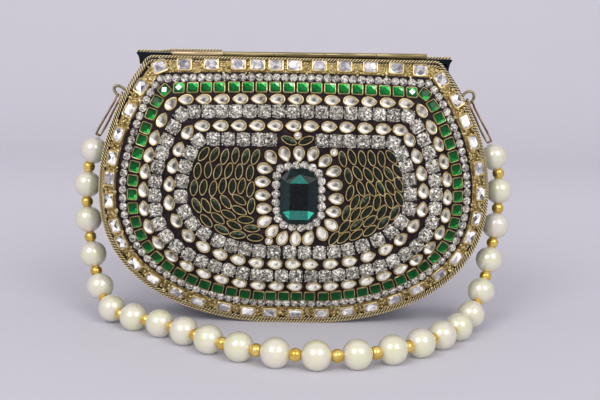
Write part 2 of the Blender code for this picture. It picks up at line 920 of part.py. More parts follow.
def row_insets():
    """How far the middle of each row lies in from the outline at the sides, the bottom and the top, by
    name, and how far in the rows reach altogether."""
    reach = dict.fromkeys(("side", "bottom", "top"), rope_lift + 2 * rope_radius)
    insets = {}
    for name, row in stone_rows:
        insets[name] = {place: reach[place] + row[place] + row["width"] / 2 for place in reach}
        reach = {place: insets[name][place] + row["width"] / 2 for place in reach}
    return insets, reach


def ornament_place():
    """Height of the centre ornament's middle, and the half length of the halo's middle line."""
    reach = row_insets()[1]
    low = reach["bottom"] + ornament_bottom_gap
    high = bag_height - reach["top"] - ornament_top_gap
    return (low + high) / 2, (high - low) / 2 / (1 + halo_drop_share / 2)


def make_row(name, row, material, square=False, long_stones=False):
    """One closed row of stones in their settings, higher and wider at each stone."""
    low = (between_stones_width_share, between_stones_height_share)
    full = (1.0, 1.0)
    pattern = (full, full, low) if long_stones else (full, low)
    outline = whole_loop(**row_insets()[0][name], corner=row_corner)
    loop = even_points(outline, row["stones"] * len(pattern))

    def build(bm):
        loft(bm, row_sections(loop, row["width"], row["height"], pattern, square), True)

    add_object(name, mesh_from(name, build), material)


def ornament_loop(half_width, half_length, roundness, count):
    """A superellipse round the centre ornament, in equal steps."""
    middle = ornament_place()[0]
    fine = 10 * count
    points = []
    for i in range(fine):
        turn = 2 * math.pi * i / fine
        across = math.sin(turn)
        up = -math.cos(turn)
        x = math.copysign(abs(across) ** (2 / roundness), across)
        z = math.copysign(abs(up) ** (2 / roundness), up)
        points.append(Vector((ornament_x + half_width * x, middle + half_length * z)))
    return even_points(points, count)


def make_ring_of_stones(name, width_share, length_share, roundness, stones, bead_share, height, material):
    unit = ornament_place()[1]
    loop = ornament_loop(unit * width_share, unit * length_share, roundness, 2 * stones)
    low = (between_stones_width_share, between_stones_height_share)

    def build(bm):
        loft(bm, row_sections(loop, unit * bead_share, height, ((1.0, 1.0), low), False), True)

    add_object(name, mesh_from(name, build), material)


def octagon(half_width, half_length, corner):
    right = [
        (half_width - corner, -half_length),
        (half_width, -half_length + corner),
        (half_width, half_length - corner),
        (half_width - corner, half_length),
    ]
    return right + [(-x, z) for x, z in reversed(right)]


def make_centre_stone(stone_material, seat_material):
    """The octagonal stone, and the flat seat that it is set on."""
    middle, unit = ornament_place()
    base = front_y(ornament_x, middle) - row_base_gap

    def ring(size_share, lift):
        sizes = (stone_width_share, stone_length_share, stone_corner_share)
        corners = octagon(*[unit * share * size_share for share in sizes])
        return [(ornament_x + x, base - lift, middle + z) for x, z in corners]

    def stone(bm):
        rings = [
            ring(stone_back_share, stone_back),
            ring(1.0, stone_girdle),
            ring(stone_table_share, stone_front),
        ]
        loft(bm, rings, False)

    def seat(bm):
        loft(bm, [ring(stone_back_share, 0.0), ring(stone_back_share, seat_height)], False)

    add_object("centre_stone", mesh_from("centre_stone", stone), stone_material)
    add_object("centre_seat", mesh_from("centre_seat", seat), seat_material)


def field_edges(sign):
    """Rows of a field from bottom to top, each as its inner X, outer X and Z."""
    insets = {place: inset + field_gap for place, inset in row_insets()[1].items()}
    outline = half_loop(**insets, corner=row_corner)
    middle, unit = ornament_place()
    heights = [point.y for point in outline]
    low = min(heights) + field_end_gap
    high = max(heights) - field_end_gap
    halo_edge = unit * halo_drop_share / 2 + 2 * clearance
    side_points = [point for point in outline if point.y < max(heights) - tiny]
    rows = []
    for i in range(field_rows + 1):
        z = low + (high - low) * i / field_rows
        outer = float(np.interp(z, [p.y for p in side_points], [p.x for p in side_points]))
        level = min(abs(z - middle) / (unit + halo_edge), 1.0)
        inner = (unit * halo_width_share + halo_edge) * (1 - level**halo_roundness) ** (1 / halo_roundness)
        rows.append((ornament_x + sign * inner, sign * outer, z))
    return rows


def make_field(name, sign, material):
    """A low plate of raised leaf points, set out in staggered rows between the halo and the rows."""
    edges = field_edges(sign)

    def build(bm):
        top = []
        base = []
        for i, (inner, outer, z) in enumerate(edges):
            top_row = []
            base_row = []
            for k in range(field_columns + 1):
                x = inner + (outer - inner) * k / field_columns
                surface = front_y(x, z) - row_base_gap
                rim = i in (0, len(edges) - 1) or k in (0, field_columns)
                raised = (i + k) % 2 == 0 and not rim
                lift = field_leaf_height if raised else field_height
                top_row.append(bm.verts.new((x, surface - lift, z)))
                base_row.append(bm.verts.new((x, surface, z)))
            top.append(top_row)
            base.append(base_row)
        for i in range(len(edges) - 1):
            for k in range(field_columns):
                for grid in (top, base):
                    bm.faces.new((grid[i][k], grid[i][k + 1], grid[i + 1][k + 1], grid[i + 1][k]))
        last = len(edges) - 1
        around = [(0, k) for k in range(field_columns)]
        around += [(i, field_columns) for i in range(last)]
        around += [(last, k) for k in range(field_columns, 0, -1)]
        around += [(i, 0) for i in range(last, 0, -1)]
        for place, after in zip(around, around[1:] + around[:1]):
            corners = [grid[i][k] for grid in (top, base) for i, k in (place, after)]
            bm.faces.new((corners[0], corners[1], corners[3], corners[2]))

    add_object(name, mesh_from(name, build), material)


clear_scene()
bag = new_collection("clutch_bag")
cutters = new_collection("cutters")

antique_gold = finish_material("antique_gold", (0.52, 0.38, 0.13), 0.35, 1.0)
brass = finish_material("brass", (0.62, 0.45, 0.22), 0.3, 1.0)
bead_gold = finish_material("bead_gold", (0.80, 0.42, 0.06), 0.18, 1.0)
steel = finish_material("steel", (0.55, 0.55, 0.56), 0.3, 1.0)
dark_enamel = finish_material("dark_enamel", (0.012, 0.016, 0.024), 0.35, 0.0)
resin_ground = finish_material("resin_ground", (0.018, 0.012, 0.014), 0.5, 0.0)
lining_cloth = finish_material("lining_cloth", (0.10, 0.01, 0.015), 0.9, 0.0)
clear_crystal = finish_material("clear_crystal", (0.80, 0.80, 0.84), 0.08, 0.0)
green_glass = finish_material("green_glass", (0.0, 0.16, 0.05), 0.08, 0.0)
dark_leaf = finish_material("dark_leaf", (0.01, 0.025, 0.015), 0.12, 0.0)
teal_stone = finish_material("teal_stone", (0.0, 0.05, 0.05), 0.05, 0.0)
pearl_white = finish_material("pearl_white", (0.82, 0.80, 0.70), 0.2, 0.0)

lid_pivot = bpy.data.objects.new("lid_pivot", None)
bag.objects.link(lid_pivot)
strand_pivot = bpy.data.objects.new("strand_pivot", None)
strand_pivot.location = (0.0, 0.0, eye_centre()[1] - eye_radius)
bag.objects.link(strand_pivot)

make_panels(resin_ground)
make_band(dark_enamel)
make_ropes(antique_gold)
make_lining(lining_cloth)
_, lid_top, lid_rear = make_lid(dark_enamel, lid_pivot)
make_lid_wire(antique_gold, lid_pivot, lid_top, lid_rear)
make_tab(brass, lid_pivot, lid_rear, lid_top)
make_hinge(brass, steel, lid_pivot, lid_top)
make_catch(steel, steel, lid_pivot)
make_eyes(brass)
make_hooks(brass, strand_pivot)
make_strand(bead_gold, pearl_white, strand_pivot)
for row_name, stone_row in stone_rows:
    is_border = stone_row is border_row
    is_green = stone_row is green_row
    row_material = green_glass if is_green else clear_crystal
    make_row(row_name, stone_row, row_material, square=is_border or is_green, long_stones=is_border)
make_field("left_leaf_field", -1, dark_leaf)
make_field("right_leaf_field", 1, dark_leaf)
make_ring_of_stones(
    "centre_halo",
    halo_width_share,
    1.0,
    halo_roundness,
    halo_stones,
    halo_drop_share,
    halo_height,
    clear_crystal,
)
make_ring_of_stones(
    "centre_chain",
    chain_width_share,
    chain_length_share,
    chain_roundness,
    chain_stones,
    chain_bead_share,
    chain_height,
    clear_crystal,
)
make_centre_stone(teal_stone, antique_gold)
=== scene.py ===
import math
import random

import bmesh
import bpy
import numpy as np
from mathutils import Matrix, Vector


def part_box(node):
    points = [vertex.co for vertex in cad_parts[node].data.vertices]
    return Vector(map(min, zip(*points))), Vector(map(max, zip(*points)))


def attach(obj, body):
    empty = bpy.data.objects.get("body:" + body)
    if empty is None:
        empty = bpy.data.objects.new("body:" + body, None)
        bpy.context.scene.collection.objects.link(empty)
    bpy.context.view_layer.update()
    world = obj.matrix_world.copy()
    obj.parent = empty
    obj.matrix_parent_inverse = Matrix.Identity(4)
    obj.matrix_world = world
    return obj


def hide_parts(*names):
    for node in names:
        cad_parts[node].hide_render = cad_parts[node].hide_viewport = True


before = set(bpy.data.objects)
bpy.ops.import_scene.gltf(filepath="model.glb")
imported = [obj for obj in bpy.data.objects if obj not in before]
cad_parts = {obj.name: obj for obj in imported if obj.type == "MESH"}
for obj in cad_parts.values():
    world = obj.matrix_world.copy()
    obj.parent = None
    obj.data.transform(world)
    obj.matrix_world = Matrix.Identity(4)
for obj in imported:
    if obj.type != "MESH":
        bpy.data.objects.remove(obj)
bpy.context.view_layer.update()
scene = bpy.context.scene

MM = 0.001
TINY = 1e-9

# ---------------------------------------------------------------- camera at the photograph's angle

CAMERA_AT = (-0.00977, -0.49889, 0.1275)
YAW, PITCH, ROLL = math.radians(1.49), math.radians(8.06), math.radians(1.18)

cam_data = bpy.data.cameras.new("camera")
cam_data.sensor_width = 36.0
cam_data.lens = 61.47
cam_data.clip_start = 0.01
cam_data.clip_end = 20.0
camera = bpy.data.objects.new("camera", cam_data)
scene.collection.objects.link(camera)
forward = Vector((math.sin(YAW) * math.cos(PITCH), math.cos(YAW) * math.cos(PITCH), -math.sin(PITCH)))
level_right = Vector((math.cos(YAW), -math.sin(YAW), 0.0))
level_up = level_right.cross(forward)
cam_right = math.cos(ROLL) * level_right + math.sin(ROLL) * level_up
cam_up = -math.sin(ROLL) * level_right + math.cos(ROLL) * level_up
turn = Matrix((cam_right, cam_up, -forward)).transposed().to_4x4()
camera.matrix_world = Matrix.Translation(CAMERA_AT) @ turn
scene.camera = camera
scene.view_settings.view_transform = "Standard"

# ---------------------------------------------------------------- the bag's outline and pillow front

# The same sizes as in the part's source
HALF = 0.0923
HEIGHT = 0.125
WIDEST = 0.063  # height at which the bag is widest
TAPER = 0.0241
ROUND = 2.3  # exponent of the superellipse below the widest height
FOOT = 0.0004
DEPTH = 0.036
RISE = 0.012
BACK_RISE = 0.003
REACH = 0.030  # distance from the ropes at which the dome is full
POWER = 1.5
ROPE_ROOM = 0.0024
SHEET = 0.001
GAP = 0.0003

# How a row of stones departs from an even inset
ARCH_LEAST, ARCH_WIDTH = 0.18, 0.045
LEAN_FROM, LEAN_OVER = 0.086, 0.026
CORNER_STEPS, TOP_STEPS = 5, 12


def half_profile(fine=176):
    points = []
    for i in range(fine + 1):
        angle = math.pi / 2 * (1 - i / fine)
        x = HALF * max(math.cos(angle), 0.0) ** (2 / ROUND)
        points.append((x, WIDEST - (WIDEST + FOOT) * math.sin(angle) ** (2 / ROUND)))
    for i in range(1, fine + fine // 8):
        share = i / fine
        points.append((HALF - TAPER * share**2, WIDEST + share * (HEIGHT - WIDEST)))
    return points


PROFILE = half_profile()
SEGMENTS = np.array(PROFILE)
STARTS, STEPS = SEGMENTS[:-1], np.diff(SEGMENTS, axis=0)


def half_width_at(z):
    if z >= WIDEST:
        return HALF - TAPER * ((z - WIDEST) / (HEIGHT - WIDEST)) ** 2
    share = min((WIDEST - z) / (WIDEST + FOOT), 1.0)
    return HALF * (1 - share**ROUND) ** (1 / ROUND)


def dome(x, z):
    away = np.array((abs(x), z)) - STARTS
    share = np.clip((away * STEPS).sum(axis=1) / (STEPS**2).sum(axis=1), 0.0, 1.0)
    rim = float(np.linalg.norm(away - STEPS * share[:, None], axis=1).min())
    made = 1.0
    for distance in (rim, HEIGHT - z):
        inside = max(distance - ROPE_ROOM, 0.0)
        made *= 1 - (1 - min(inside / REACH, 1.0)) ** POWER
    return made


def front_y(x, z):
    return -DEPTH / 2 - RISE * dome(x, z)


def seat(x, z, angle=0.0, lift=0.0):
    """Place on the front: origin, and axes across, along and outward. The angle is clockwise from up."""
    d = 0.0012
    fx = (front_y(x + d, z) - front_y(x - d, z)) / (2 * d)
    fz = (front_y(x, z + d) - front_y(x, z - d)) / (2 * d)
    out = np.array((fx, -1.0, fz))
    out /= np.linalg.norm(out)
    along = np.array((math.sin(angle), fx * math.sin(angle) + fz * math.cos(angle), math.cos(angle)))
    along /= np.linalg.norm(along)
    across = np.cross(along, out)
    origin = np.array((x, front_y(x, z), z)) + out * lift
    return origin, np.stack((across, along, out))


def half_loop(side, bottom, top, corner, arch=0.0, lean=0.0, bulge=0.0):
    """Half a row's path. The arch lowers its top away from the middle, the lean draws its side out towards
    the top, and the bulge draws its lower corner in."""

    def level(x):
        return HEIGHT - top - arch * (ARCH_LEAST + (x / ARCH_WIDTH) ** 2)

    moved = []
    for i, (x, z) in enumerate(PROFILE):
        before, after = PROFILE[max(i - 1, 0)], PROFILE[min(i + 1, len(PROFILE) - 1)]
        ahead = Vector((after[0] - before[0], after[1] - before[1])).normalized()
        outward = Vector((ahead.y, -ahead.x))
        down = outward.y**2 if outward.y < 0 else 0.0
        high = min(max((z - LEAN_FROM) / LEAN_OVER, 0.0), 1.0)
        inset = side * (1 - down) + bottom * down + bulge * 4 * down * (1 - down) - lean * high**2
        point = Vector((max(x - inset * outward.x, 0.0), max(z, 0.0) - inset * outward.y))
        point.y = max(point.y, bottom)
        if moved and point.y < moved[-1].y + TINY and point.x < moved[-1].x + TINY:
            continue
        if point.y >= level(point.x):
            share = (level(point.x) - moved[-1].y) / (point.y - moved[-1].y)
            moved.append(moved[-1].lerp(point, share))
            break
        moved.append(point)
    peak = moved[-1].copy()
    kept = [p for p in moved if (p - peak).length > corner]
    start, end = kept[-1], Vector((peak.x - corner, level(peak.x - corner)))
    for i in range(1, CORNER_STEPS + 1):
        t = i / CORNER_STEPS
        kept.append(start * (1 - t) ** 2 + peak * (2 * t * (1 - t)) + end * t**2)
    across = [end.x * (1 - i / TOP_STEPS) for i in range(1, TOP_STEPS + 1)]
    return kept + [Vector((x, level(x))) for x in across]


def whole_loop(left, right, bottom, top, corner=0.004, arch=0.0, leans=(0.0, 0.0), bulge=0.0):
    made = half_loop(right, bottom, top, corner, arch, leans[1], bulge)
    other = half_loop(left, bottom, top, corner, arch, leans[0], bulge)
    return made + [Vector((-p.x, p.y)) for p in reversed(other[1:-1])]


def run_along(path):
    """The distance along a path at each of its points."""
    return np.concatenate([[0.0], np.cumsum(np.linalg.norm(np.diff(path, axis=0), axis=1))])


def place_along(path, run, distance):
    return np.stack([np.interp(distance, run, path[:, k]) for k in range(path.shape[1])], axis=-1)


class Loop:
    """A closed path in the front plane, read by its run from the bottom middle, counter-clockwise."""

    def __init__(self, points):
        path = np.array([tuple(p) for p in points])
        self.path = np.vstack([path, path[:1]])
        self.run = run_along(self.path)
        self.length = self.run[-1]

    def at(self, distance):
        return place_along(self.path, self.run, np.mod(distance, self.length))

    def heading(self, distance, reach=0.0015):
        step = self.at(distance + reach) - self.at(distance - reach)
        return math.atan2(step[0], step[1])

    def nearest(self, x, z):
        spots = np.linspace(0.0, self.length, 2400)
        return spots[np.linalg.norm(self.at(spots) - (x, z), axis=1).argmin()]


def filled_runs(loop, places, pitch):
    """The measured places of a row's stones, in mm, with the stretches between them filled evenly."""
    anchors = sorted(loop.nearest(x * MM, z * MM) for x, z in places)
    made = []
    for i, here in enumerate(anchors):
        after = anchors[(i + 1) % len(anchors)] + (loop.length if i == len(anchors) - 1 else 0.0)
        count = max(round((after - here) / (pitch * MM)), 1)
        made += [here + (after - here) * k / count for k in range(count)]
    return made



# ---------------------------------------------------------------- materials


def new_material(name, **inputs):
    """A material, its node tree and its shader, whose inputs are named with _ for each space."""
    made = bpy.data.materials.new(name)
    made.use_nodes = True
    shader = made.node_tree.nodes["Principled BSDF"]
    for key, value in inputs.items():
        shader.inputs[key.replace("_", " ")].default_value = value
    return made, made.node_tree, shader


def srgb(r, g, b):
    made = []
    for value in (r, g, b):
        v = value / 255
        made.append(v / 12.92 if v <= 0.04045 else ((v + 0.055) / 1.055) ** 2.4)
    return (*made, 1.0)


def add_node(tree, kind, inputs, **settings):
    """A node with each input set to a value, or linked where the value is another node's output."""
    made = tree.nodes.new("ShaderNode" + kind)
    for key, value in settings.items():
        setattr(made, key, value)
    for key, value in inputs.items():
        if isinstance(value, bpy.types.NodeSocket):
            tree.links.new(value, made.inputs[key])
        else:
            made.inputs[key].default_value = value
    return made


def coords_of(tree, stretch=None):
    place = add_node(tree, "TexCoord", {}).outputs["Object"]
    if stretch is None:
        return place
    return add_node(tree, "Mapping", {"Vector": place, "Scale": stretch}).outputs["Vector"]


def noise_node(tree, scale, detail=3.0, rough=0.55, coords=None):
    place = coords_of(tree) if coords is None else coords
    inputs = {"Scale": scale, "Detail": detail, "Roughness": rough, "Vector": place}
    return add_node(tree, "TexNoise", inputs).outputs["Fac"]


def ramp_node(tree, stops, source):
    made = add_node(tree, "ValToRGB", {"Fac": source})
    ramp = made.color_ramp
    while len(ramp.elements) < len(stops):
        ramp.elements.new(0.5)
    for element, (place, colour) in zip(ramp.elements, stops):
        element.position = place
        element.color = srgb(*colour)
    return made.outputs["Color"]


def ranged(tree, source, low, high, least=0.0, most=1.0):
    inputs = {"Value": source, "From Min": least, "From Max": most, "To Min": low, "To Max": high}
    return add_node(tree, "MapRange", inputs).outputs["Result"]


def plus(tree, one, other):
    return add_node(tree, "Math", {0: one, 1: other}).outputs[0]


def tone_of(tree):
    return add_node(tree, "Attribute", {}, attribute_name="tone").outputs["Fac"]


def paint(tree, shader, stops, source, grain=None, rough=None, bump=None):
    """Colours by the source. The grain gives the roughness's range, and the bump's strength and depth."""
    tree.links.new(ramp_node(tree, stops, source), shader.inputs["Base Color"])
    if rough:
        tree.links.new(ranged(tree, grain, *rough), shader.inputs["Roughness"])
    if bump:
        made = add_node(tree, "Bump", {"Strength": bump[0], "Distance": bump[1], "Height": grain})
        tree.links.new(made.outputs["Normal"], shader.inputs["Normal"])


def toned(name, stops, roughness=0.1, coat=0.35, specular=0.4, cloud=0.10, cells=0.0, fine=1250.0):
    """A cut stone: each facet's own tone of painted light and shade, with a faint cloud in it and small cells
    of painted glint and dark.
    """
    made, tree, shader = new_material(
        name, Roughness=roughness, Coat_Weight=coat, Coat_Roughness=0.04, Specular_IOR_Level=specular
    )
    total = plus(tree, tone_of(tree), ranged(tree, noise_node(tree, 900.0, 2.0), -cloud, cloud))
    if cells:
        voronoi = add_node(tree, "TexVoronoi", {"Scale": fine, "Vector": coords_of(tree)})
        split = add_node(tree, "SeparateColor", {"Color": voronoi.outputs["Color"]})
        total = plus(tree, total, ranged(tree, split.outputs["Red"], -cells, cells))
    paint(tree, shader, stops, total)
    return made


def gold(name, dark, mid, light, scale, bump=(0.25, 0.0002), rough=(0.22, 0.42), metallic=1.0):
    made, tree, shader = new_material(name, Metallic=metallic, Roughness=0.3)
    grain, fine = noise_node(tree, scale, 4.0), noise_node(tree, scale * 2.3, 3.0)
    paint(tree, shader, [(0.3, dark), (0.52, mid), (0.72, light)], grain, fine, rough, bump)
    return made


def twisted_gold(name, stops):
    """Gold wire: a painted highlight on the outside of each turn and painted shade in the grooves."""
    made, tree, shader = new_material(name, Metallic=0.6, Roughness=0.34)
    total = plus(tree, tone_of(tree), ranged(tree, noise_node(tree, 500.0, 3.0), -0.14, 0.14))
    paint(tree, shader, stops, total, noise_node(tree, 1400.0, 3.0), (0.24, 0.46), (0.15, 0.0001))
    return made



GREYS = [(0.0, (30, 28, 26)), (0.3, (92, 88, 82)), (0.52, (144, 139, 131)), (0.76, (200, 196, 189)),
         (1.0, (252, 251, 248))]
CLEAR = toned("clear_drop", GREYS, roughness=0.14)
CUT = toned("cut_crystal", GREYS, coat=0.2, specular=0.3, cells=0.28, fine=1700.0)
SPARK = toned(
    "small_crystal",
    [(0.0, (56, 53, 50)), (0.3, (122, 117, 112)), (0.55, (178, 173, 166)), (0.8, (222, 218, 212)),
     (1.0, (252, 251, 248))],
    cells=0.20,
)
WINDOW = toned(
    "window_crystal",
    [(0.0, (40, 44, 50)), (0.3, (98, 97, 104)), (0.52, (146, 143, 150)), (0.78, (196, 192, 196)),
     (1.0, (246, 244, 246))],
    cloud=0.14,
    cells=0.10,
)
GREEN = toned(
    "green_glass",
    [(0.0, (3, 26, 12)), (0.3, (3, 66, 28)), (0.5, (6, 104, 42)), (0.72, (22, 144, 60)),
     (0.9, (66, 198, 96)), (1.0, (250, 255, 250))],
    coat=0.1,
    specular=0.12,
)
LEAF = toned(
    "dark_leaf",
    [(0.0, (9, 10, 9)), (0.35, (19, 23, 19)), (0.6, (38, 48, 38)), (0.8, (74, 92, 74)),
     (1.0, (128, 150, 130))],
    roughness=0.16,
    coat=0.12,
    specular=0.12,
)
TEAL = toned(
    "teal_stone",
    [(0.0, (9, 10, 14)), (0.25, (24, 38, 39)), (0.45, (34, 60, 58)), (0.62, (42, 84, 78)),
     (0.8, (34, 122, 112)), (1.0, (64, 204, 176))],
    roughness=0.06,
    coat=0.08,
    specular=0.1,
    cloud=0.14,
)
RIM_GOLD = gold("rim_gold", (168, 142, 90), (212, 188, 132), (248, 234, 186), 700.0, metallic=0.8)
GREEN_RIM = gold("green_rim", (146, 122, 76), (200, 178, 126), (240, 224, 180), 500.0, metallic=0.8)
NUGGET_GOLD = gold(
    "nugget_gold", (152, 132, 84), (220, 200, 142), (254, 248, 210), 820.0,
    bump=(0.7, 0.0003), rough=(0.16, 0.4),
)
# A darker gold for the strip under the nuggets: painted shade in the crevices between them.
STRIP_GOLD = gold("strip_gold", (92, 76, 46), (160, 138, 92), (226, 208, 156), 900.0, bump=(0.7, 0.0003))
ROPE_GOLD = twisted_gold(
    "rope_gold", [(0.0, (82, 62, 34)), (0.3, (128, 104, 64)), (0.62, (190, 168, 118)), (1.0, (240, 226, 182))]
)
EYE_GOLD = gold("eye_gold", (122, 112, 84), (176, 164, 130), (226, 218, 190), 300.0)
HOOK_COPPER = gold("hook_copper", (140, 104, 70), (184, 148, 112), (222, 194, 160), 300.0)
BEAD_GOLD = gold(
    "bead_gold", (208, 164, 66), (230, 192, 96), (250, 226, 148), 260.0,
    bump=(0.05, 0.0002), rough=(0.2, 0.3), metallic=0.85,
)
BRASS = gold(
    "hinge_brass", (92, 80, 54), (140, 125, 90), (190, 174, 134), 240.0, bump=(0.15, 0.0002), rough=(0.3, 0.5)
)


def tube_brass(name, dark, light):
    """Rolled brass tube: drawn along its length, with streaks that run the same way."""
    made, tree, shader = new_material(name, Metallic=0.9, Roughness=0.35)
    streaks = noise_node(tree, 1300.0, 3.0, 0.6, coords_of(tree, (0.05, 1.0, 1.0)))
    paint(tree, shader, [(0.3, dark), (0.7, light)], streaks, streaks, (0.24, 0.46), (0.25, 0.0001))
    return made


BRASS_TUBE = tube_brass("rolled_brass", (96, 84, 56), (188, 172, 128))
BRASS_PINK = tube_brass("rolled_brass_bright", (166, 144, 108), (222, 202, 166))


def ground_material():
    made, tree, shader = new_material("resin_ground", Roughness=0.45, Specular_IOR_Level=0.12)
    grain = noise_node(tree, 650.0, 5.0, 0.65)
    stops = [(0.32, (14, 9, 13)), (0.5, (26, 18, 23)), (0.68, (48, 36, 40))]
    paint(tree, shader, stops, grain, grain, (0.3, 0.65), (0.7, 0.0004))
    return made


def enamel_material(name, tint, coat, rough):
    made, tree, shader = new_material(
        name, Roughness=0.22, Coat_Weight=coat, Coat_Roughness=0.15, Specular_IOR_Level=coat
    )
    stops = list(zip((0.3, 0.5, 0.75), tint))
    pits = noise_node(tree, 380.0, 4.0, 0.6)
    paint(tree, shader, stops, noise_node(tree, 60.0, 4.0), pits, rough, (0.22, 0.00025))
    return made


GROUND = ground_material()
ENAMEL = enamel_material("dark_enamel", ((16, 24, 31), (24, 34, 43), (38, 50, 58)), 0.2, (0.16, 0.38))
LID_ENAMEL = enamel_material("lid_enamel", ((7, 12, 16), (12, 18, 23), (22, 31, 37)), 0.05, (0.45, 0.6))


def pearl_material():
    made, tree, shader = new_material(
        "pearl", Metallic=0.2, Roughness=0.34, Specular_IOR_Level=1.0, Coat_Weight=1.0, Coat_Roughness=0.12,
        Coat_IOR=2.1, Subsurface_Weight=0.7, Subsurface_Radius=(1.0, 0.9, 0.6), Subsurface_Scale=0.008,
    )
    stops = [(0.34, (203, 202, 174)), (0.5, (205, 201, 184)), (0.66, (207, 199, 191))]
    cloud, fine = noise_node(tree, 90.0, 2.0), noise_node(tree, 260.0, 3.0)
    paint(tree, shader, stops, cloud, fine, (0.32, 0.4), (0.03, 0.0001))
    return made


def cord_material():
    made, tree, shader = new_material("strand_cord", Roughness=0.7)
    wave = add_node(tree, "TexWave", {"Scale": 900.0, "Distortion": 2.0, "Vector": coords_of(tree)})
    twist = wave.outputs["Fac"]
    paint(tree, shader, [(0.2, (150, 132, 92)), (0.8, (214, 198, 156))], twist, twist, bump=(0.4, 0.0001))
    return made


def satin_material():
    made, tree, shader = new_material("satin_lining", Roughness=0.42, Sheen_Weight=0.4, Sheen_Roughness=0.35)
    drawn = coords_of(tree, (1.0, 1.0, 0.12))
    threads = noise_node(tree, 2600.0, 3.0, 0.6, drawn)
    # Large patches lighter and darker: painted light and shade of the satin's folds.
    fold_light_and_shade = ranged(tree, noise_node(tree, 70.0, 3.0, 0.5, drawn), 0.1, 0.5)
    mixed = add_node(tree, "Math", {0: threads, 1: 0.45, 2: fold_light_and_shade}, operation="MULTIPLY_ADD").outputs[0]
    stops = [(0.25, (26, 20, 27)), (0.5, (44, 35, 44)), (0.75, (74, 62, 72))]
    paint(tree, shader, stops, mixed, threads, bump=(0.25, 0.0001))
    return made


def steel_material():
    made, tree, shader = new_material("steel", Metallic=1.0, Roughness=0.3)
    grain = noise_node(tree, 300.0, 4.0)
    stops = [(0.3, (126, 126, 130)), (0.55, (168, 168, 172)), (0.75, (196, 196, 198))]
    paint(tree, shader, stops, grain, grain, (0.25, 0.45), (0.1, 0.0001))
    return made


PEARL, CORD, SATIN, STEEL = pearl_material(), cord_material(), satin_material(), steel_material()


# ---------------------------------------------------------------- mesh tools


def link(name, mesh, *materials):
    made = bpy.data.objects.new(name, mesh)
    scene.collection.objects.link(made)
    for each in materials:
        mesh.materials.append(each)
    return made


def dress(piece, body, slot_name, *nodes):
    """The body that a piece moves with, and the nodes that it replaces. Its material slot is not used."""
    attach(piece, body)
    if nodes:
        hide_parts(*nodes)
    return piece


def quads(rows, wide, ring=True, loop=False):
    """Faces between rows of points. A ring closes each row, and a loop joins the last row to the first."""
    faces = []
    for i in range(rows if loop else rows - 1):
        here, after = i * wide, (i + 1) % rows * wide
        for k in range(wide if ring else wide - 1):
            m = (k + 1) % wide
            faces.append((here + k, here + m, after + m, after + k))
    return faces


def fan(first, count, tip):
    return [(first + k, first + (k + 1) % count, tip) for k in range(count)]


def moved_on(faces, base):
    return [tuple(v + base for v in face) for face in faces]


class Batch:
    """Many small solids gathered in one mesh, with a material and a tone for each face."""

    def __init__(self):
        self.verts, self.faces, self.slots, self.tones = [], [], [], []
        self.count = 0

    def add(self, points, faces, slot, tones, pointwise=False):
        """The tones are one number, or one for each face, or one for each point."""
        self.verts.append(np.asarray(points, float))
        self.faces += moved_on(faces, self.count)
        for i, face in enumerate(faces):
            if pointwise:
                self.tones += [tones[v] for v in face]
            else:
                self.tones += [tones[i] if hasattr(tones, "__len__") else tones] * len(face)
        self.slots += [slot] * len(faces)
        self.count += len(points)

    def place(self, solid, spot, slot, tone, size=(1.0, 1.0, 1.0), pointwise=False):
        """The solid's points are (across, along, out) in metres. The tone is a number, or a function of the
        middle and outward direction of a face in the stone's own axes, and of both in the world's. With
        pointwise it is a function of a point's place on the stone and its place in the world."""
        points, faces = solid
        origin, axes = spot
        local = np.asarray(points, float) * size
        world = origin + local @ axes
        tones = tone
        if pointwise:
            tones = [tone(here, here @ axes) for here in local]
        elif callable(tone):
            tones = []
            for face in faces:
                corners = local[list(face)]
                middle = corners.mean(axis=0)
                normal = np.cross(corners[1] - corners[0], corners[2] - corners[0])
                normal /= max(np.linalg.norm(normal), 1e-15)
                tones.append(tone(middle, normal, middle @ axes, normal @ axes))
        self.add(world, faces, slot, tones, pointwise)

    def build(self, name, *materials, smooth_slots=()):
        mesh = bpy.data.meshes.new(name)
        mesh.from_pydata(np.vstack(self.verts).tolist(), [], self.faces)
        mesh.polygons.foreach_set("material_index", self.slots)
        if smooth_slots:
            mesh.polygons.foreach_set("use_smooth", [s in smooth_slots for s in self.slots])
        attribute = mesh.attributes.new("tone", "FLOAT", "CORNER")
        attribute.data.foreach_set("value", [float(t) for t in self.tones])
        mesh.update()
        return link(name, mesh, *materials)


def ringed(rings, centre=None):
    """Rings of equal counts joined by quads, with a point in the middle of the last ring."""
    points = [p for ring in rings for p in ring]
    count = len(rings[0])
    faces = quads(len(rings), count)
    if centre is not None:
        points.append(centre)
        faces += fan((len(rings) - 1) * count, count, len(points) - 1)
    return points, faces


SUNK = -0.0004  # of a stone's lower edge below the sheet's face
SQUARE = 9.0  # exponent of a square with slightly rounded corners


def rounded(half_x, half_y, power, count, turned=0.0):
    made = []
    for i in range(count):
        a = 2 * math.pi * (i + turned) / count
        c, s = (math.copysign(abs(v) ** (2 / power), v) for v in (math.cos(a), math.sin(a)))
        made.append((half_x * c, half_y * s))
    return made


def lifted(outline, height, share=1.0):
    return [(x * share, y * share, height) for x, y in outline]


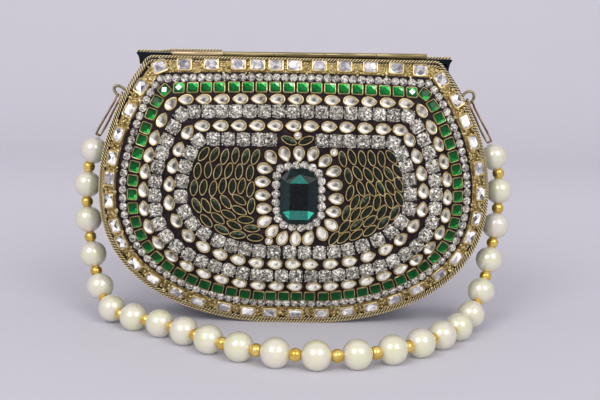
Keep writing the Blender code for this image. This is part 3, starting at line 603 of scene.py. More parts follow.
def brilliant(radius, height, power=2.0, sides=8):
    """A round or cushion stone: a girdle of twice the sides, kites, a ring of star facets and a table
    cut in triangles."""
    n = sides
    girdle = rounded(radius, radius, power, 2 * n)
    kite = rounded(radius * 0.74, radius * 0.74, power, n, 0.5)
    table = rounded(radius * 0.42, radius * 0.42, power, n)
    points = lifted(girdle, SUNK) + lifted(girdle, height * 0.38) + lifted(kite, height * 0.80)
    points += lifted(table, height) + [(0.0, 0.0, height * 0.97)]
    faces = quads(2, 2 * n)
    g, m, t, c = 2 * n, 4 * n, 5 * n, 6 * n
    for k in range(n):
        here, after, beyond = 2 * k, 2 * k + 1, (2 * k + 2) % (2 * n)
        beside = (k + 1) % n
        faces += [
            (g + here, g + after, m + k),
            (g + after, g + beyond, m + k),
            (g + beyond, m + beside, m + k),
            (m + k, m + beside, t + beside),
            (m + k, t + beside, t + k),
            (t + k, t + beside, c),
        ]
    return points, faces


def window_stone(half, height):
    """A square stone with a crown of eight triangles and a table cut across its corners."""
    outer = rounded(half, half, SQUARE, 8)
    inner = [(half * x, half * y) for x, y in ((0.6, 0.6), (-0.6, 0.6), (-0.6, -0.6), (0.6, -0.6))]
    points = lifted(outer, -0.0005) + lifted(outer, height * 0.55) + lifted(inner, height)
    points.append((0.0, 0.0, height * 0.90))
    faces = quads(2, 8)
    for k in range(4):
        edge, corner_at, after = 8 + 2 * k, 9 + 2 * k, 8 + (2 * k + 2) % 8
        here, beyond = 16 + k, 16 + (k + 1) % 4
        faces += [
            (edge, corner_at, here), (corner_at, after, here), (after, beyond, here), (here, beyond, 20)
        ]
    return points, faces


def step_square(half, height):
    """A square stone: its table is a diamond with a triangle at each corner."""
    outline = rounded(half, half, 8.0, 8)
    rings = [lifted(outline, SUNK), lifted(outline, height * 0.45), lifted(outline, height, 0.62)]
    points, faces = ringed(rings)
    faces += [(16 + k - 1, 16 + k, 16 + (k + 1) % 8) for k in (1, 3, 5, 7)] + [(16, 18, 20, 22)]
    return points, faces


def drop_outline(half_width, half_length, count=22):
    """Round below, drawn to a point above. It starts at the tip."""
    low = half_width - half_length
    touch = math.acos(half_width / (half_length - low))
    oval, fullness = 0.55, 0.30
    made = []
    for i in range(count):
        a = 2 * math.pi * i / count
        off = min(a, 2 * math.pi - a)
        radius = half_width
        if off < touch:
            radius = half_width / math.cos(touch - off)
            radius += (radius - half_width) * fullness * math.sin(math.pi * off / touch)
        made.append((
            ((1 - oval) * radius + oval * half_width) * math.sin(a),
            (1 - oval) * (low + radius * math.cos(a)) + oval * half_length * math.cos(a),
        ))
    return made


def drop_stone(half_width, half_length, height):
    outline = drop_outline(half_width, half_length)
    low = half_width - half_length
    rings = [lifted(outline, SUNK), lifted(outline, height * 0.50)]
    for share, up in ((0.84, 0.76), (0.66, 0.90), (0.46, 0.97), (0.24, 1.0)):
        rings.append([(x * share, low * 0.6 * (1 - share) + y * share, height * up) for x, y in outline])
    return ringed(rings, (0.0, low * 0.6, height))


def leaf_outline(half_width, half_length, count=14):
    made = []
    for i in range(count):
        a = 2 * math.pi * i / count
        up = math.cos(a)
        made.append((half_width * math.sin(a) * (1 - 0.28 * abs(up) ** 3), half_length * up))
    return made


def leaf_stone(half_width, half_length, height):
    outline = leaf_outline(half_width, half_length)
    rings = [lifted(outline, SUNK), lifted(outline, height * 0.4)]
    rings.append([(x * 0.60, y * 0.66, height * 0.86) for x, y in outline])
    rings.append([(x * 0.06, y * 0.44, height) for x, y in outline])
    return ringed(rings, (0.0, 0.0, height))


def cup(outline, rim, low, high):
    """A thin setting round an outline: its outside wall, its top and a lip over the stone."""
    grown = []
    count = len(outline)
    for i, (x, y) in enumerate(outline):
        before, after = outline[i - 1], outline[(i + 1) % count]
        dx, dy = after[0] - before[0], after[1] - before[1]
        length = math.hypot(dx, dy) or 1.0
        grown.append((x + rim * dy / length, y - rim * dx / length))
    if sum(x * x + y * y for x, y in grown) < sum(x * x + y * y for x, y in outline):
        grown = [(2 * x - g[0], 2 * y - g[1]) for (x, y), g in zip(outline, grown)]
    lip = 0.985
    return ringed([
        lifted(grown, low),
        lifted(grown, high * 0.82),
        [((g[0] * 2 + x) / 3, (g[1] * 2 + y) / 3, high) for g, (x, y) in zip(grown, outline)],
        lifted(outline, high * 0.94, lip),
        lifted(outline, low * 0.5, lip),
    ])


def ball(radius, rings=4, sides=7):
    points = [(0.0, 0.0, -radius)]
    for i in range(1, rings):
        a = math.pi * i / rings
        wide, up = radius * math.sin(a), -radius * math.cos(a)
        turns = [2 * math.pi * k / sides for k in range(sides)]
        points += [(wide * math.cos(b), wide * math.sin(b), up) for b in turns]
    points.append((0.0, 0.0, radius))
    faces = [(0, 1 + (k + 1) % sides, 1 + k) for k in range(sides)] + moved_on(quads(rings - 1, sides), 1)
    faces += fan(1 + (rings - 2) * sides, sides, len(points) - 1)
    return points, faces


BALL = ball(1.0)
# A rope's tone runs from painted shade in its grooves to a painted highlight on its outside.
GROOVE, RIDGE = 0.58, 0.34  # share of a rope's radius at which it is darkest, and from there to brightest


def strip_on_front(batch, loop, half_width, height, slot, steps, seed, lumps=0.0):
    """A low bumpy ridge that follows a loop on the front."""
    rng = random.Random(seed)
    rows = []
    shares = (-1.0, -0.8, -0.4, 0.0, 0.4, 0.8, 1.0)
    for i in range(steps):
        run = loop.length * i / steps
        x, z = loop.at(run)
        origin, axes = seat(x, z, loop.heading(run, 0.003))
        row = []
        for share in shares:
            up = -0.0004 if abs(share) == 1.0 else height * (1 - 0.35 * share**2) + rng.uniform(-lumps, lumps)
            px, pz = (origin + axes[0] * half_width * share)[[0, 2]]
            row.append(np.array((px, front_y(px, pz), pz)) + axes[2] * up)
        rows.append(row)
    points = [p for row in rows for p in row]
    batch.add(points, quads(steps, len(shares), ring=False, loop=True), slot, 0.5)


def swept(path, radius, sides, closed=True, twist=None, ply_offset=0.0, ply_turn=0.0):
    """A tube round a path in space, and a tone for each point: painted shade near the path, where the plies
    meet, and lighter further out. With a twist (length of one turn) the tube winds round the path."""
    path = np.asarray(path, float)
    count = len(path)
    ahead = np.roll(path, -1, axis=0) - np.roll(path, 1, axis=0)
    if not closed:
        ahead[0] = path[1] - path[0]
        ahead[-1] = path[-1] - path[-2]
    ahead /= np.linalg.norm(ahead, axis=1)[:, None]
    side = np.cross(ahead, (0.0, 1.0, 0.0))
    weak = np.linalg.norm(side, axis=1) < 0.2
    side[weak] = np.cross(ahead[weak], (0.0, 0.0, 1.0))
    side /= np.linalg.norm(side, axis=1)[:, None]
    other = np.cross(side, ahead)
    centre = path
    if twist:
        run = run_along(path)
        whole = run[-1] + (np.linalg.norm(path[0] - path[-1]) if closed else 0.0)
        turns = round(whole / twist) / whole if closed else 1.0 / twist
        angle = 2 * math.pi * run * turns + ply_turn
        centre = path + ply_offset * (np.cos(angle)[:, None] * side + np.sin(angle)[:, None] * other)
    rings = []
    for k in range(sides):
        a = 2 * math.pi * k / sides
        rings.append(centre + radius * (math.cos(a) * side + math.sin(a) * other))
    points = np.stack(rings, axis=1).reshape(-1, 3)
    away = np.linalg.norm(points - np.repeat(path, sides, axis=0), axis=1)
    tones = np.clip((away / (ply_offset + radius) - GROOVE) / RIDGE, 0.0, 1.0)
    faces = quads(count, sides, loop=closed)
    if not closed:
        faces.append(tuple(reversed(range(sides))))
        faces.append(tuple((count - 1) * sides + k for k in range(sides)))
    return points, faces, tones


def add_rope(batch, line, radius, offset, closed=True, phase=0.0):
    """Two plies of wire twisted round a line."""
    for ply in range(2):
        points, faces, tones = swept(
            line, radius, 8, closed, twist=0.0029, ply_offset=offset, ply_turn=math.pi * ply + phase
        )
        batch.add(points, faces, 0, tones, True)


def fine_path(points, step, closed=True):
    path = np.asarray([tuple(p) for p in points], float)
    if closed:
        path = np.vstack([path, path[:1]])
    run = run_along(path)
    wanted = np.linspace(0.0, run[-1], max(int(run[-1] / step), 8) + 1)
    return place_along(path, run, wanted[:-1] if closed else wanted)


def mesh_of(name, points, faces, smooth=True):
    mesh = bpy.data.meshes.new(name)
    mesh.from_pydata(np.asarray(points).tolist(), [], [tuple(f) for f in faces])
    mesh.validate()
    bm = bmesh.new()
    bm.from_mesh(mesh)
    bmesh.ops.recalc_face_normals(bm, faces=bm.faces)
    bm.to_mesh(mesh)
    bm.free()
    if smooth:
        mesh.shade_smooth()
        mesh.set_sharp_from_angle(angle=math.radians(42))
    return mesh


def smooth_route(points, per_span):
    """A smooth curve through points, with per_span steps from each to the next."""
    path = [Vector(p) for p in points]
    ends = [2 * path[0] - path[1], *path, 2 * path[-1] - path[-2]]
    made = []
    for i in range(1, len(ends) - 2):
        a, b, c, d = ends[i - 1 : i + 3]
        for k in range(per_span):
            t = k / per_span
            square, cube = a * 2 - b * 5 + c * 4 - d, b * 3 - a - c * 3 + d
            made.append((b * 2 + (c - a) * t + square * t**2 + cube * t**3) / 2)
    made.append(path[-1])
    return made


# ---------------------------------------------------------------- strand of pearls

TIP_X, TIP_Z = 0.09517, 0.08558
EYE_X, EYE_Z = 0.08372, 0.10883
EYE_RADIUS = 0.0032
ROUTE = [
    (-1.0700, 0.0070, 0.9140), (-1.0964, 0.0087, 0.6886), (-1.0856, -0.0043, 0.4725),
    (-1.0553, -0.0379, 0.2664), (-1.0054, -0.1192, 0.0879), (-0.9274, -0.2622, 0.0025),
    (-0.7963, -0.3879, 0.0000), (-0.6501, -0.5027, 0.0000), (-0.5200, -0.6381, 0.0000),
    (-0.3987, -0.7811, 0.0000), (-0.2535, -0.8960, 0.0000), (-0.0856, -0.9837, 0.0000),
    (0.0997, -1.0195, 0.0000), (0.2860, -0.9935, 0.0000), (0.4529, -0.9090, 0.0000),
    (0.5980, -0.7876, 0.0000), (0.7172, -0.6446, 0.0000), (0.8234, -0.4930, 0.0000),
    (0.9112, -0.3348, 0.0226), (0.9881, -0.1907, 0.1282), (1.0412, -0.0997, 0.3053),
    (1.0769, -0.0455, 0.5127), (1.0964, -0.0108, 0.7238), (1.0740, 0.0070, 0.9240),
]
PEARL_RADIUS = 0.006


def strand_places():
    """The strand's middle line from hook to hook, and the distance along it."""
    between = [
        (HALF * x, HALF * y, PEARL_RADIUS + (TIP_Z - PEARL_RADIUS) * up) for x, y, up in ROUTE
    ]
    points = smooth_route([(-TIP_X, 0.0, TIP_Z), *between, (TIP_X, 0.0, TIP_Z)], 12)
    line = np.array([tuple(p) for p in points])
    return line, run_along(line)


def turned_on(batch, profile, low, high, sides, slot, tone):
    """A bead turned about the line from one point to another. The profile is (share of the way, radius)."""
    low, high = np.asarray(low, float), np.asarray(high, float)
    axis = high - low
    length = np.linalg.norm(axis)
    axis /= length
    side = np.cross(axis, (0.0, 0.0, 1.0))
    if np.linalg.norm(side) < 0.1:
        side = np.cross(axis, (0.0, 1.0, 0.0))
    side /= np.linalg.norm(side)
    other = np.cross(axis, side)
    points = []
    for share, radius in profile:
        for k in range(sides):
            a = 2 * math.pi * k / sides
            points.append(low + axis * length * share + radius * (math.cos(a) * side + math.sin(a) * other))
    batch.add(points, quads(len(profile), sides), slot, tone)


path, run = strand_places()


def at_run(distance):
    return place_along(path, run, distance)


FIRST, PEARLS = 0.0066, 24  # from the cord's end to the first pearl's middle, and how many pearls
BEAD_GAP = 0.0003
FULL = 1.08  # how much fuller a pearl looks than the solid in its place
BORE = 0.0008
GROUP = 6
pearl_pitch = (run[-1] - 2 * FIRST) / (PEARLS - 1)
reach = PEARL_RADIUS + BEAD_GAP
arc = math.acos(BORE / PEARL_RADIUS)
pearl_profile = [
    (0.5 - 0.5 * math.sin(a) / math.sin(arc), FULL * PEARL_RADIUS * math.cos(a))
    for a in (arc - 2 * arc * i / 24 for i in range(25))
]
half = FULL * PEARL_RADIUS * math.sin(arc)
for group in range(PEARLS // GROUP):
    beads, names = Batch(), []
    for i in range(group * GROUP, group * GROUP + GROUP):
        middle = FIRST + i * pearl_pitch
        before, after = at_run(middle - reach), at_run(middle + reach)
        centre, along = (before + after) / 2, (after - before) / np.linalg.norm(after - before)
        turned_on(beads, pearl_profile, centre - along * half, centre + along * half, 32, 0, 0.5)
        names.append(f"pearl_{i + 1:02d}")
    piece = beads.build(f"pearls_{group + 1}", PEARL, smooth_slots=(0,))
    dress(piece, "strand", "pearl_white", *names)

SPACER_RADIUS, SPACER_END = 0.0029, 0.0006
spacer_length = pearl_pitch - 2 * PEARL_RADIUS - 2 * BEAD_GAP
cap = math.acos(min(spacer_length / 2 / SPACER_RADIUS, 1.0))
spacer_profile = [(0.0, SPACER_END)]
spacer_profile += [
    (0.5 - SPACER_RADIUS * math.cos(a) / spacer_length, SPACER_RADIUS * math.sin(a))
    for a in np.linspace(cap, math.pi - cap, 15)
]
spacer_profile.append((1.0, SPACER_END))
spacers = Batch()
for i in range(PEARLS - 1):
    middle = FIRST + (i + 0.5) * pearl_pitch
    low, high = at_run(middle - spacer_length / 2), at_run(middle + spacer_length / 2)
    turned_on(spacers, spacer_profile, low, high, 20, 0, 0.5)
spacer_piece = dress(spacers.build("gold_spacers", BEAD_GOLD, smooth_slots=(0,)), "strand", "bead_gold")

CORD_DIAMETER = 0.001
cord_curve = bpy.data.curves.new("strand_cord", "CURVE")
cord_curve.dimensions = "3D"
cord_curve.bevel_depth = CORD_DIAMETER / 2
cord_curve.bevel_resolution = 3
cord_curve.use_fill_caps = True
spline = cord_curve.splines.new("POLY")
cord_points = path[::2] if (len(path) - 1) % 2 == 0 else np.vstack([path[::2], path[-1:]])
spline.points.add(len(cord_points) - 1)
for i, point in enumerate(cord_points):
    spline.points[i].co = (*point, 1.0)
spline.use_smooth = True
cord_piece = bpy.data.objects.new("stringing_cord", cord_curve)
scene.collection.objects.link(cord_piece)
cord_curve.materials.append(CORD)
dress(cord_piece, "strand", "bead_gold", "strand_cord_with_gold_spacers")

# ---------------------------------------------------------------- strap eyes and hooks

EYE_WIRE, STEM_WIRE, HOOK_WIRE = 0.00072, 0.0007, 0.00052
STEM = ((0.0797, 0.1047), (0.0808, 0.1055), (0.0819, 0.1061))
EYES = (  # side, its sign, the oval's long and short half, its lean in degrees and its middle
    ("left", -1, 0.0036, 0.0021, 37.5, (0.08450, 0.10822)),
    ("right", 1, 0.0034, 0.0026, 50.0, (0.08400, 0.10855)),
)
for side_name, sign, long, short, lean, (at_x, at_z) in EYES:
    tilt = math.radians(lean)
    ring = []
    for a in np.linspace(0, 2 * math.pi, 49)[:-1]:
        far, near = long * math.cos(a), short * math.sin(a)
        in_x = at_x - far * math.cos(tilt) + near * math.sin(tilt)
        ring.append((sign * in_x, 0.0, at_z - far * math.sin(tilt) - near * math.cos(tilt)))
    points, faces, _ = swept(ring, EYE_WIRE, 12)
    more, more_faces, _ = swept([(sign * x, 0.0, z) for x, z in STEM], STEM_WIRE, 12, closed=False)
    faces = faces + moved_on(more_faces, len(points))
    eye = link(f"{side_name}_wire_eye", mesh_of("eye", np.vstack([points, more]), faces), EYE_GOLD)
    dress(eye, "bag", "antique_gold", f"{side_name}_strap_eye")

# A hook's line from its inner end over the eye, down its leg, round its tip and back up to the catch:
# how far out, how far to the rear and how high, from the eye's lower edge
BEND, WIDE = 0.0013, 0.0009
LEG_OUT, LEG_DROP = 0.0110, 0.0188
hook_line = [
    (0.0017 * out, -BEND - WIDE * aside, -0.0034 * down)
    for out, aside, down in ((1.0, 0.25, 1.0), (0.5, 0.25, 0.7), (0.0, 0.0, 0.3))
]
hook_line += [(0.0, -BEND * math.cos(math.pi * s / 6), BEND * math.sin(math.pi * s / 6)) for s in range(7)]
hook_line += [
    (LEG_OUT * out, BEND * y, -LEG_DROP * down)
    for out, y, down in ((0.13, 1.0, 0.09), (0.38, 1.0, 0.34), (0.68, 0.7, 0.70), (0.88, 0.4, 0.90))
]
hook_line += [
    (LEG_OUT + WIDE * out, BEND * y, -LEG_DROP + WIDE * up)
    for out, y, up in ((-0.5, 0.1, 0.5), (0.0, -0.2, 0.0), (0.7, -0.5, 0.6), (1.0, -0.7, 2.4))
]
hook_line += [(out, -BEND, up) for out, up in ((0.0038, -0.0030), (0.0030, -0.0012), (0.0016, 0.0010))]
HOOK_RISE, RISE_OVER = 0.0007, 0.008  # the hook's top is drawn this much higher, less further down
for side_name, sign in (("left", -1), ("right", 1)):
    line = [
        (sign * (EYE_X + out), y, EYE_Z - EYE_RADIUS + up + HOOK_RISE * max(1 + up / RISE_OVER, 0.0))
        for out, y, up in hook_line
    ]
    points, faces, _ = swept([tuple(p) for p in smooth_route(line, 6)], HOOK_WIRE, 10, closed=False)
    hook = link(f"{side_name}_wire_hook", mesh_of("hook", points, faces), HOOK_COPPER)
    dress(hook, "strand", "antique_gold", f"{side_name}_hook")

# ---------------------------------------------------------------- shell


def panel_piece(name, rise, facing, finish, slot_name, node):
    """A dished sheet: shrinking loops over the dome, with a wall."""
    inset = 0.0006
    edge = Loop(whole_loop(inset, inset, inset, inset, 0.0035))
    rim = [edge.at(edge.length * i / 240) for i in range(240)]
    shares = [1.0, 0.985, 0.97] + [0.97 * (1 - (i / 22) ** 1.15) for i in range(1, 22)]
    middle = np.array((0.0, HEIGHT / 2))
    outer, inner = [], []
    for share in shares:
        places = [middle + (point - middle) * share for point in rim]
        ring = [(facing * x, facing * (DEPTH / 2 + rise * dome(x, z)), z) for x, z in places]
        outer.append(ring)
        inner.append([(x, y - facing * SHEET, z) for x, y, z in ring])
    rings = inner[::-1] + outer
    points, faces = ringed(rings)
    count = len(rim)
    top = DEPTH / 2 + rise * dome(0.0, HEIGHT / 2)
    points += [(0.0, facing * (top - SHEET), HEIGHT / 2), (0.0, facing * top, HEIGHT / 2)]
    faces += [face[1::-1] + face[2:] for face in fan(0, count, len(points) - 2)]
    faces += fan((len(rings) - 1) * count, count, len(points) - 1)
    dress(link(name, mesh_of(name, points, faces), finish), "bag", slot_name, node)


panel_piece("front_sheet", RISE, -1, GROUND, "resin_ground", "front_panel")
panel_piece("back_sheet", BACK_RISE, 1, ENAMEL, "dark_enamel", "back_panel")

# Band: one section with rounded edges, led round the outline
side = [Vector((x, max(z, 0.0))) for x, z in PROFILE if z < HEIGHT]
side.append(Vector((half_width_at(HEIGHT), HEIGHT)))
outer = [Vector((-p.x, p.y)) for p in reversed(side[1:])] + side
band_half = DEPTH / 2 - SHEET - GAP
EDGE = 0.00025
sections = []
for i, out_p in enumerate(outer):
    step = (outer[min(i + 1, len(outer) - 1)] - outer[max(i - 1, 0)]).normalized()
    in_p = out_p + SHEET * Vector((-step.y, step.x))
    soft = out_p.lerp(in_p, 0.25)
    section = [(in_p, -band_half), (soft, -band_half), (out_p, -band_half + EDGE)]
    section += [(out_p, share * band_half) for share in (-0.6, -0.2, 0.2, 0.6)]
    section += [(out_p, band_half - EDGE), (soft, band_half), (in_p, band_half)]
    sections.append([(p.x, y, p.y) for p, y in section])
points, faces = ringed(sections)
wide = len(sections[0])
faces.append(tuple(range(wide)))
faces.append(tuple((len(sections) - 1) * wide + k for k in reversed(range(wide))))
dress(link("band", mesh_of("band", points, faces), ENAMEL), "bag", "dark_enamel", "side_band")

ROPE_CORNER, ROPE_STEP = 0.0022, 0.0003
SINK, SINK_FROM, SINK_OVER = 0.0009, 0.1218, 0.0012  # of the second rope along the bag's top


def rope_piece(name, insets, y_sign, node):
    """Each rope is given by its inset, its inset at the top, its distance from the middle and its phase."""
    batch = Batch()
    leans = (0.0012, -0.0005) if y_sign < 0 else (0.0, 0.0)
    for inset, top, away, phase in insets:
        loop = whole_loop(inset, inset, inset, top, ROPE_CORNER, 0.0, leans)
        sunk = [SINK * min(max((p.y - SINK_FROM) / SINK_OVER, 0.0), 1.0) if phase else 0.0 for p in loop]
        line = fine_path([(p.x, y_sign * (away - low), p.y) for p, low in zip(loop, sunk)], ROPE_STEP)
        add_rope(batch, line, 0.00029, 0.00036, phase=phase)
    dress(batch.build(name, ROPE_GOLD, smooth_slots=(0,)), "bag", "antique_gold", node)


rope_piece(
    "front_rope", ((0.00066, -0.0005, 0.01895, 0.0), (0.00192, 0.0013, 0.0187, 1.1)), -1, "front_rope_edging"
)
rope_piece("back_rope", ((0.00076, 0.0004, 0.01895, 0.0),), 1, "back_rope_edging")

# ---------------------------------------------------------------- lid

LID_TOP, LID_LOW = 0.12700, 0.1250
LID_SHIFT, LID_TILT = -0.0009, -0.0045
KNUCKLE, HINGE_START, HINGE_END = 0.00112, -0.0580, 0.0606
NOTCH_DEEP, NOTCH_BACK, NOTCH_SIDE = 0.0015, 0.0025, 0.0012  # room in the lid for the hinge
NOTCH_END = 0.0001
COVE_SHARE, COVE_DROP = 0.10, 0.30  # of the overhang and the height at the hollow end's deepest point
COVE_STEPS = 12
SKIRT_WALL = 0.0008
pin_low, pin_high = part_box("hinge_pin")
hinge_y, hinge_axis = (pin_low.y + pin_high.y) / 2, (pin_low.z + pin_high.z) / 2
lid_low, lid_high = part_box("lid_plate")
lid_half = lid_high.x - 0.0005
skirt_end = lid_low.z + 0.0002
foot_in = half_width_at(skirt_end) + 0.0006
foot_out = foot_in + SKIRT_WALL
tip = Vector((lid_half, LID_TOP - 0.0005))
cove = Vector((foot_out + (lid_half - foot_out) * COVE_SHARE, LID_TOP - (LID_TOP - skirt_end) * COVE_DROP))
foot = Vector((foot_out, skirt_end))
right = [(lid_half - 0.0004, LID_TOP)]
for i in range(COVE_STEPS + 1):
    t = i / COVE_STEPS
    p = tip * (1 - t) ** 2 + cove * 2 * t * (1 - t) + foot * t**2
    right.append((p.x, p.y))
right += [(foot_in, skirt_end), (foot_in, LID_LOW - SKIRT_WALL), (foot_in - SKIRT_WALL, LID_LOW)]
outline = right + [(-x, z) for x, z in reversed(right)]
notch_at = HINGE_START - NOTCH_SIDE - LID_SHIFT, HINGE_END + NOTCH_SIDE - LID_SHIFT
stations = [(lid_low.y, NOTCH_DEEP), (hinge_y + NOTCH_BACK, NOTCH_DEEP)]
stations += [
    (y, NOTCH_DEEP * 0.01) for y in np.linspace(hinge_y + NOTCH_BACK + NOTCH_END, lid_high.y, 7)
]
rings = []
for y, deep in stations:
    low, high = notch_at
    notch = [(low, LID_TOP), (low, LID_TOP - deep), (high, LID_TOP - deep), (high, LID_TOP)]
    rings.append([(x + LID_SHIFT, y, z + LID_TILT * x) for x, z in outline + notch])
points, faces = ringed(rings)
count = len(rings[0])
faces += [tuple(range(count)), tuple((len(rings) - 1) * count + k for k in reversed(range(count)))]
dress(link("lid_shell", mesh_of("lid_shell", points, faces), LID_ENAMEL), "lid", "dark_enamel", "lid_plate")

# Lid wire: from the hinge's right end round the lid to its left end, and over the hinge's first knuckle
WIRE_START, WIRE_CORNER, WIRE_LIFT = 0.0622, 0.0018, 0.0002
OVER_HINGE, OVER_BACK = (-0.0588, -0.052, -0.046, -0.040, -0.0349), 0.0019
wire_low, wire_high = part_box("lid_wire")
wire_r = (wire_high.z - wire_low.z) / 2
wire_z = (wire_high.z + wire_low.z) / 2
wx, wf, wb = wire_high.x - wire_r, wire_low.y + wire_r, wire_high.y - wire_r
bend_x, bend = wx - WIRE_CORNER, [(math.sin(a), math.cos(a)) for a in np.linspace(0.2, 1.4, 5)]
half = [(WIRE_START, wf), (bend_x, wf)]
half += [(bend_x + WIRE_CORNER * s, wf + WIRE_CORNER - WIRE_CORNER * c) for s, c in bend]
half += [(wx, wf + WIRE_CORNER), (wx, wb - WIRE_CORNER)]
half += [(bend_x + WIRE_CORNER * c, wb - WIRE_CORNER + WIRE_CORNER * s) for s, c in bend]
half += [(bend_x, wb)]
round_lid = half + [(-x, y) for x, y in reversed(half)]
wire_line = [(x + LID_SHIFT, y, wire_z + WIRE_LIFT + LID_TILT * x) for x, y in round_lid]
wire_line += [(x, hinge_y + OVER_BACK, 0.1288 + 0.0104 * (x - OVER_HINGE[-1])) for x in OVER_HINGE]
wire = Batch()
add_rope(wire, fine_path(wire_line, ROPE_STEP, closed=False), 0.00031, 0.00037, closed=False)
dress(wire.build("lid_rope", ROPE_GOLD, smooth_slots=(0,)), "lid", "antique_gold", "lid_wire")

# Hinge: five knuckles on a line that rises a little to the right, and a leaf for each side


def hinge_z(x):
    return 0.12755 + 0.0088 * x


def add_box(batch, low, high):
    points = [(x, y, z) for z in (low[2], high[2]) for y in (low[1], high[1]) for x in (low[0], high[0])]
    faces = [(0, 2, 3, 1), (4, 5, 7, 6), (0, 1, 5, 4), (2, 6, 7, 3), (0, 4, 6, 2), (1, 3, 7, 5)]
    batch.add(points, faces, 0, 0.5)


KNUCKLES, KNUCKLE_GAP = 5, 0.0001
LEAF_TOP, LEAF_THICK = 0.1262, 0.0005  # of the body's leaf
KNUCKLE_PROFILE = [
    (0.0, 0.0), (0.0, KNUCKLE * 0.9), (0.006, KNUCKLE), (0.994, KNUCKLE), (1.0, KNUCKLE * 0.9), (1.0, 0.0)
]
ROD_RADIUS, ROD_OVER = 0.0003, 0.0004
ends = [HINGE_START + k * ((HINGE_END - HINGE_START) / KNUCKLES) for k in range(KNUCKLES + 1)]
for name, body, own in (("hinge_body_leaf", "bag", (0, 2, 4)), ("hinge_lid_leaf", "lid", (1, 3))):
    leaf_low, leaf_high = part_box(name)
    batch = Batch()
    for k in own:
        low, high = ends[k] + KNUCKLE_GAP, ends[k + 1] - KNUCKLE_GAP
        low, high = (low, hinge_y, hinge_z(low)), (high, hinge_y, hinge_z(high))
        turned_on(batch, KNUCKLE_PROFILE, low, high, 24, 2 if k == 0 else 1, 0.5)
    if body == "bag":
        low, high = (HINGE_START, leaf_high.y - LEAF_THICK, leaf_low.z), (HINGE_END, leaf_high.y, LEAF_TOP)
        add_box(batch, low, high)
    else:
        edge = []
        for k, (low, high) in enumerate(zip(ends, ends[1:])):
            off_line = max(abs(hinge_z(low) - hinge_axis), abs(hinge_z(high) - hinge_axis))
            front = hinge_y + (0.0006 if k in own else KNUCKLE + off_line + KNUCKLE_GAP)
            edge += [(low, front), (high, front)]
        edge += [(HINGE_END, leaf_high.y), (HINGE_START, leaf_high.y)]
        points, faces = ringed([[(x, y, LID_TOP + up) for x, y in edge] for up in (-0.0003, 0.0004)])
        count = len(edge)
        faces += [tuple(reversed(range(count))), tuple(range(count, 2 * count))]
        batch.add(points, faces, 0, 0.5)
    leaf_piece = batch.build(f"{name}_brass", BRASS, BRASS_TUBE, BRASS_PINK, smooth_slots=(1, 2))
    dress(leaf_piece, body, "brass", name)
pin = Batch()
rod_profile = [(0.0, 0.0), (0.0, ROD_RADIUS), (1.0, ROD_RADIUS), (1.0, 0.0)]
low, high = (HINGE_START - ROD_OVER, hinge_y, hinge_axis), (HINGE_END + ROD_OVER, hinge_y, hinge_axis)
turned_on(pin, rod_profile, low, high, 12, 0, 0.5)
dress(pin.build("hinge_rod", STEEL), "bag", "steel", "hinge_pin")

# Solids that show as they are
for node, finish in (
    ("lift_tab", BRASS), ("catch_keeper", BRASS), ("catch_magnet", STEEL), ("centre_seat", RIM_GOLD)
):
    for slot_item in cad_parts[node].material_slots:
        slot_item.material = finish

# ---------------------------------------------------------------- lining

POUCH_INSET, POUCH_WALL = 0.0002, 0.0004
SIDE_GAP = 0.0004
NARROWING = 0.09  # its inset narrows the pouch in the share that the inset is of this
CREASE = 0.0004  # depth of the cloth's creases
_, lining_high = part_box("lining")
pouch_half, top_z = lining_high.y - POUCH_INSET, lining_high.z
side_in = SHEET + SIDE_GAP
narrow = 1 - POUCH_INSET / NARROWING
rim_points = [Vector((0.0, side_in))]
rim_points += [p for p in half_loop(side_in, side_in, 0.0, TINY) if 0 < p.x and p.y < top_z]
rim_points.append(Vector((half_width_at(top_z) - side_in * 1.2, top_z)))
right_line = fine_path(rim_points, 0.002, closed=False)
whole = np.vstack([np.stack([-right_line[:, 0], right_line[:, 1]], axis=1)[::-1][:-1], right_line])
wave_rng = random.Random(5)
phases = [wave_rng.uniform(0, 6.28) for _ in range(6)]


def crease(x, z):
    """Soft creases of the cloth, in metres, inwards only."""
    value = 0.0
    for k, phase in enumerate(phases):
        value += math.sin(x * (90 + 47 * k) + z * (35 + 31 * k) + phase) / (1.5 + k)
    return CREASE * max(value + 1.0, 0.0)


def pouch_side():
    """Rows of the gusset, from the front face to the back face."""
    base = [(x * narrow, max(z, side_in) + (POUCH_INSET if z < 0.1 else 0.0)) for x, z in whole]
    return [[(x, share * pouch_half, z) for x, z in base] for share in np.linspace(-1, 1, 11)]


def pouch_face(sign):
    rows = []
    low = whole[:, 1].min()
    for level in range(41):
        z = low + (top_z - low) * (level / 40)
        width = float(np.interp(z, right_line[:, 1], right_line[:, 0])) * narrow
        row = []
        for c in np.linspace(-1, 1, 61):
            edge = min(1.0, (1 - abs(c)) * 8, max(z - low, 0) / 0.012)
            row.append((c * width, sign * (pouch_half - crease(c * width, z) * edge), z))
        rows.append(row)
    return rows


lining_points, lining_faces = [], []
for rows, flip in ((pouch_face(-1), False), (pouch_face(1), True), (pouch_side(), True)):
    faces = moved_on(quads(len(rows), len(rows[0]), ring=False), len(lining_points))
    lining_faces += [face[::-1] for face in faces] if flip else faces
    lining_points += [point for row in rows for point in row]
lining_piece = link("satin_pouch", mesh_of("satin_pouch", lining_points, lining_faces), SATIN)
wall = lining_piece.modifiers.new("cloth", "SOLIDIFY")
wall.thickness = POUCH_WALL
dress(lining_piece, "bag", "lining_cloth", "lining")

# ---------------------------------------------------------------- stone rows

rng = random.Random(41)


def bag_piece(batch, name, node, slot_name, *materials, smooth=()):
    return dress(batch.build(name, *materials, smooth_slots=smooth), "bag", slot_name, node)


def set_stone(batch, spot, stone, setting, tone, size=(1.0, 1.0, 1.0), slots=(0, 1), pointwise=False):
    """A stone with its setting."""
    batch.place(stone, spot, slots[0], tone, size, pointwise)
    batch.place(setting, spot, slots[1], 0.5, size)


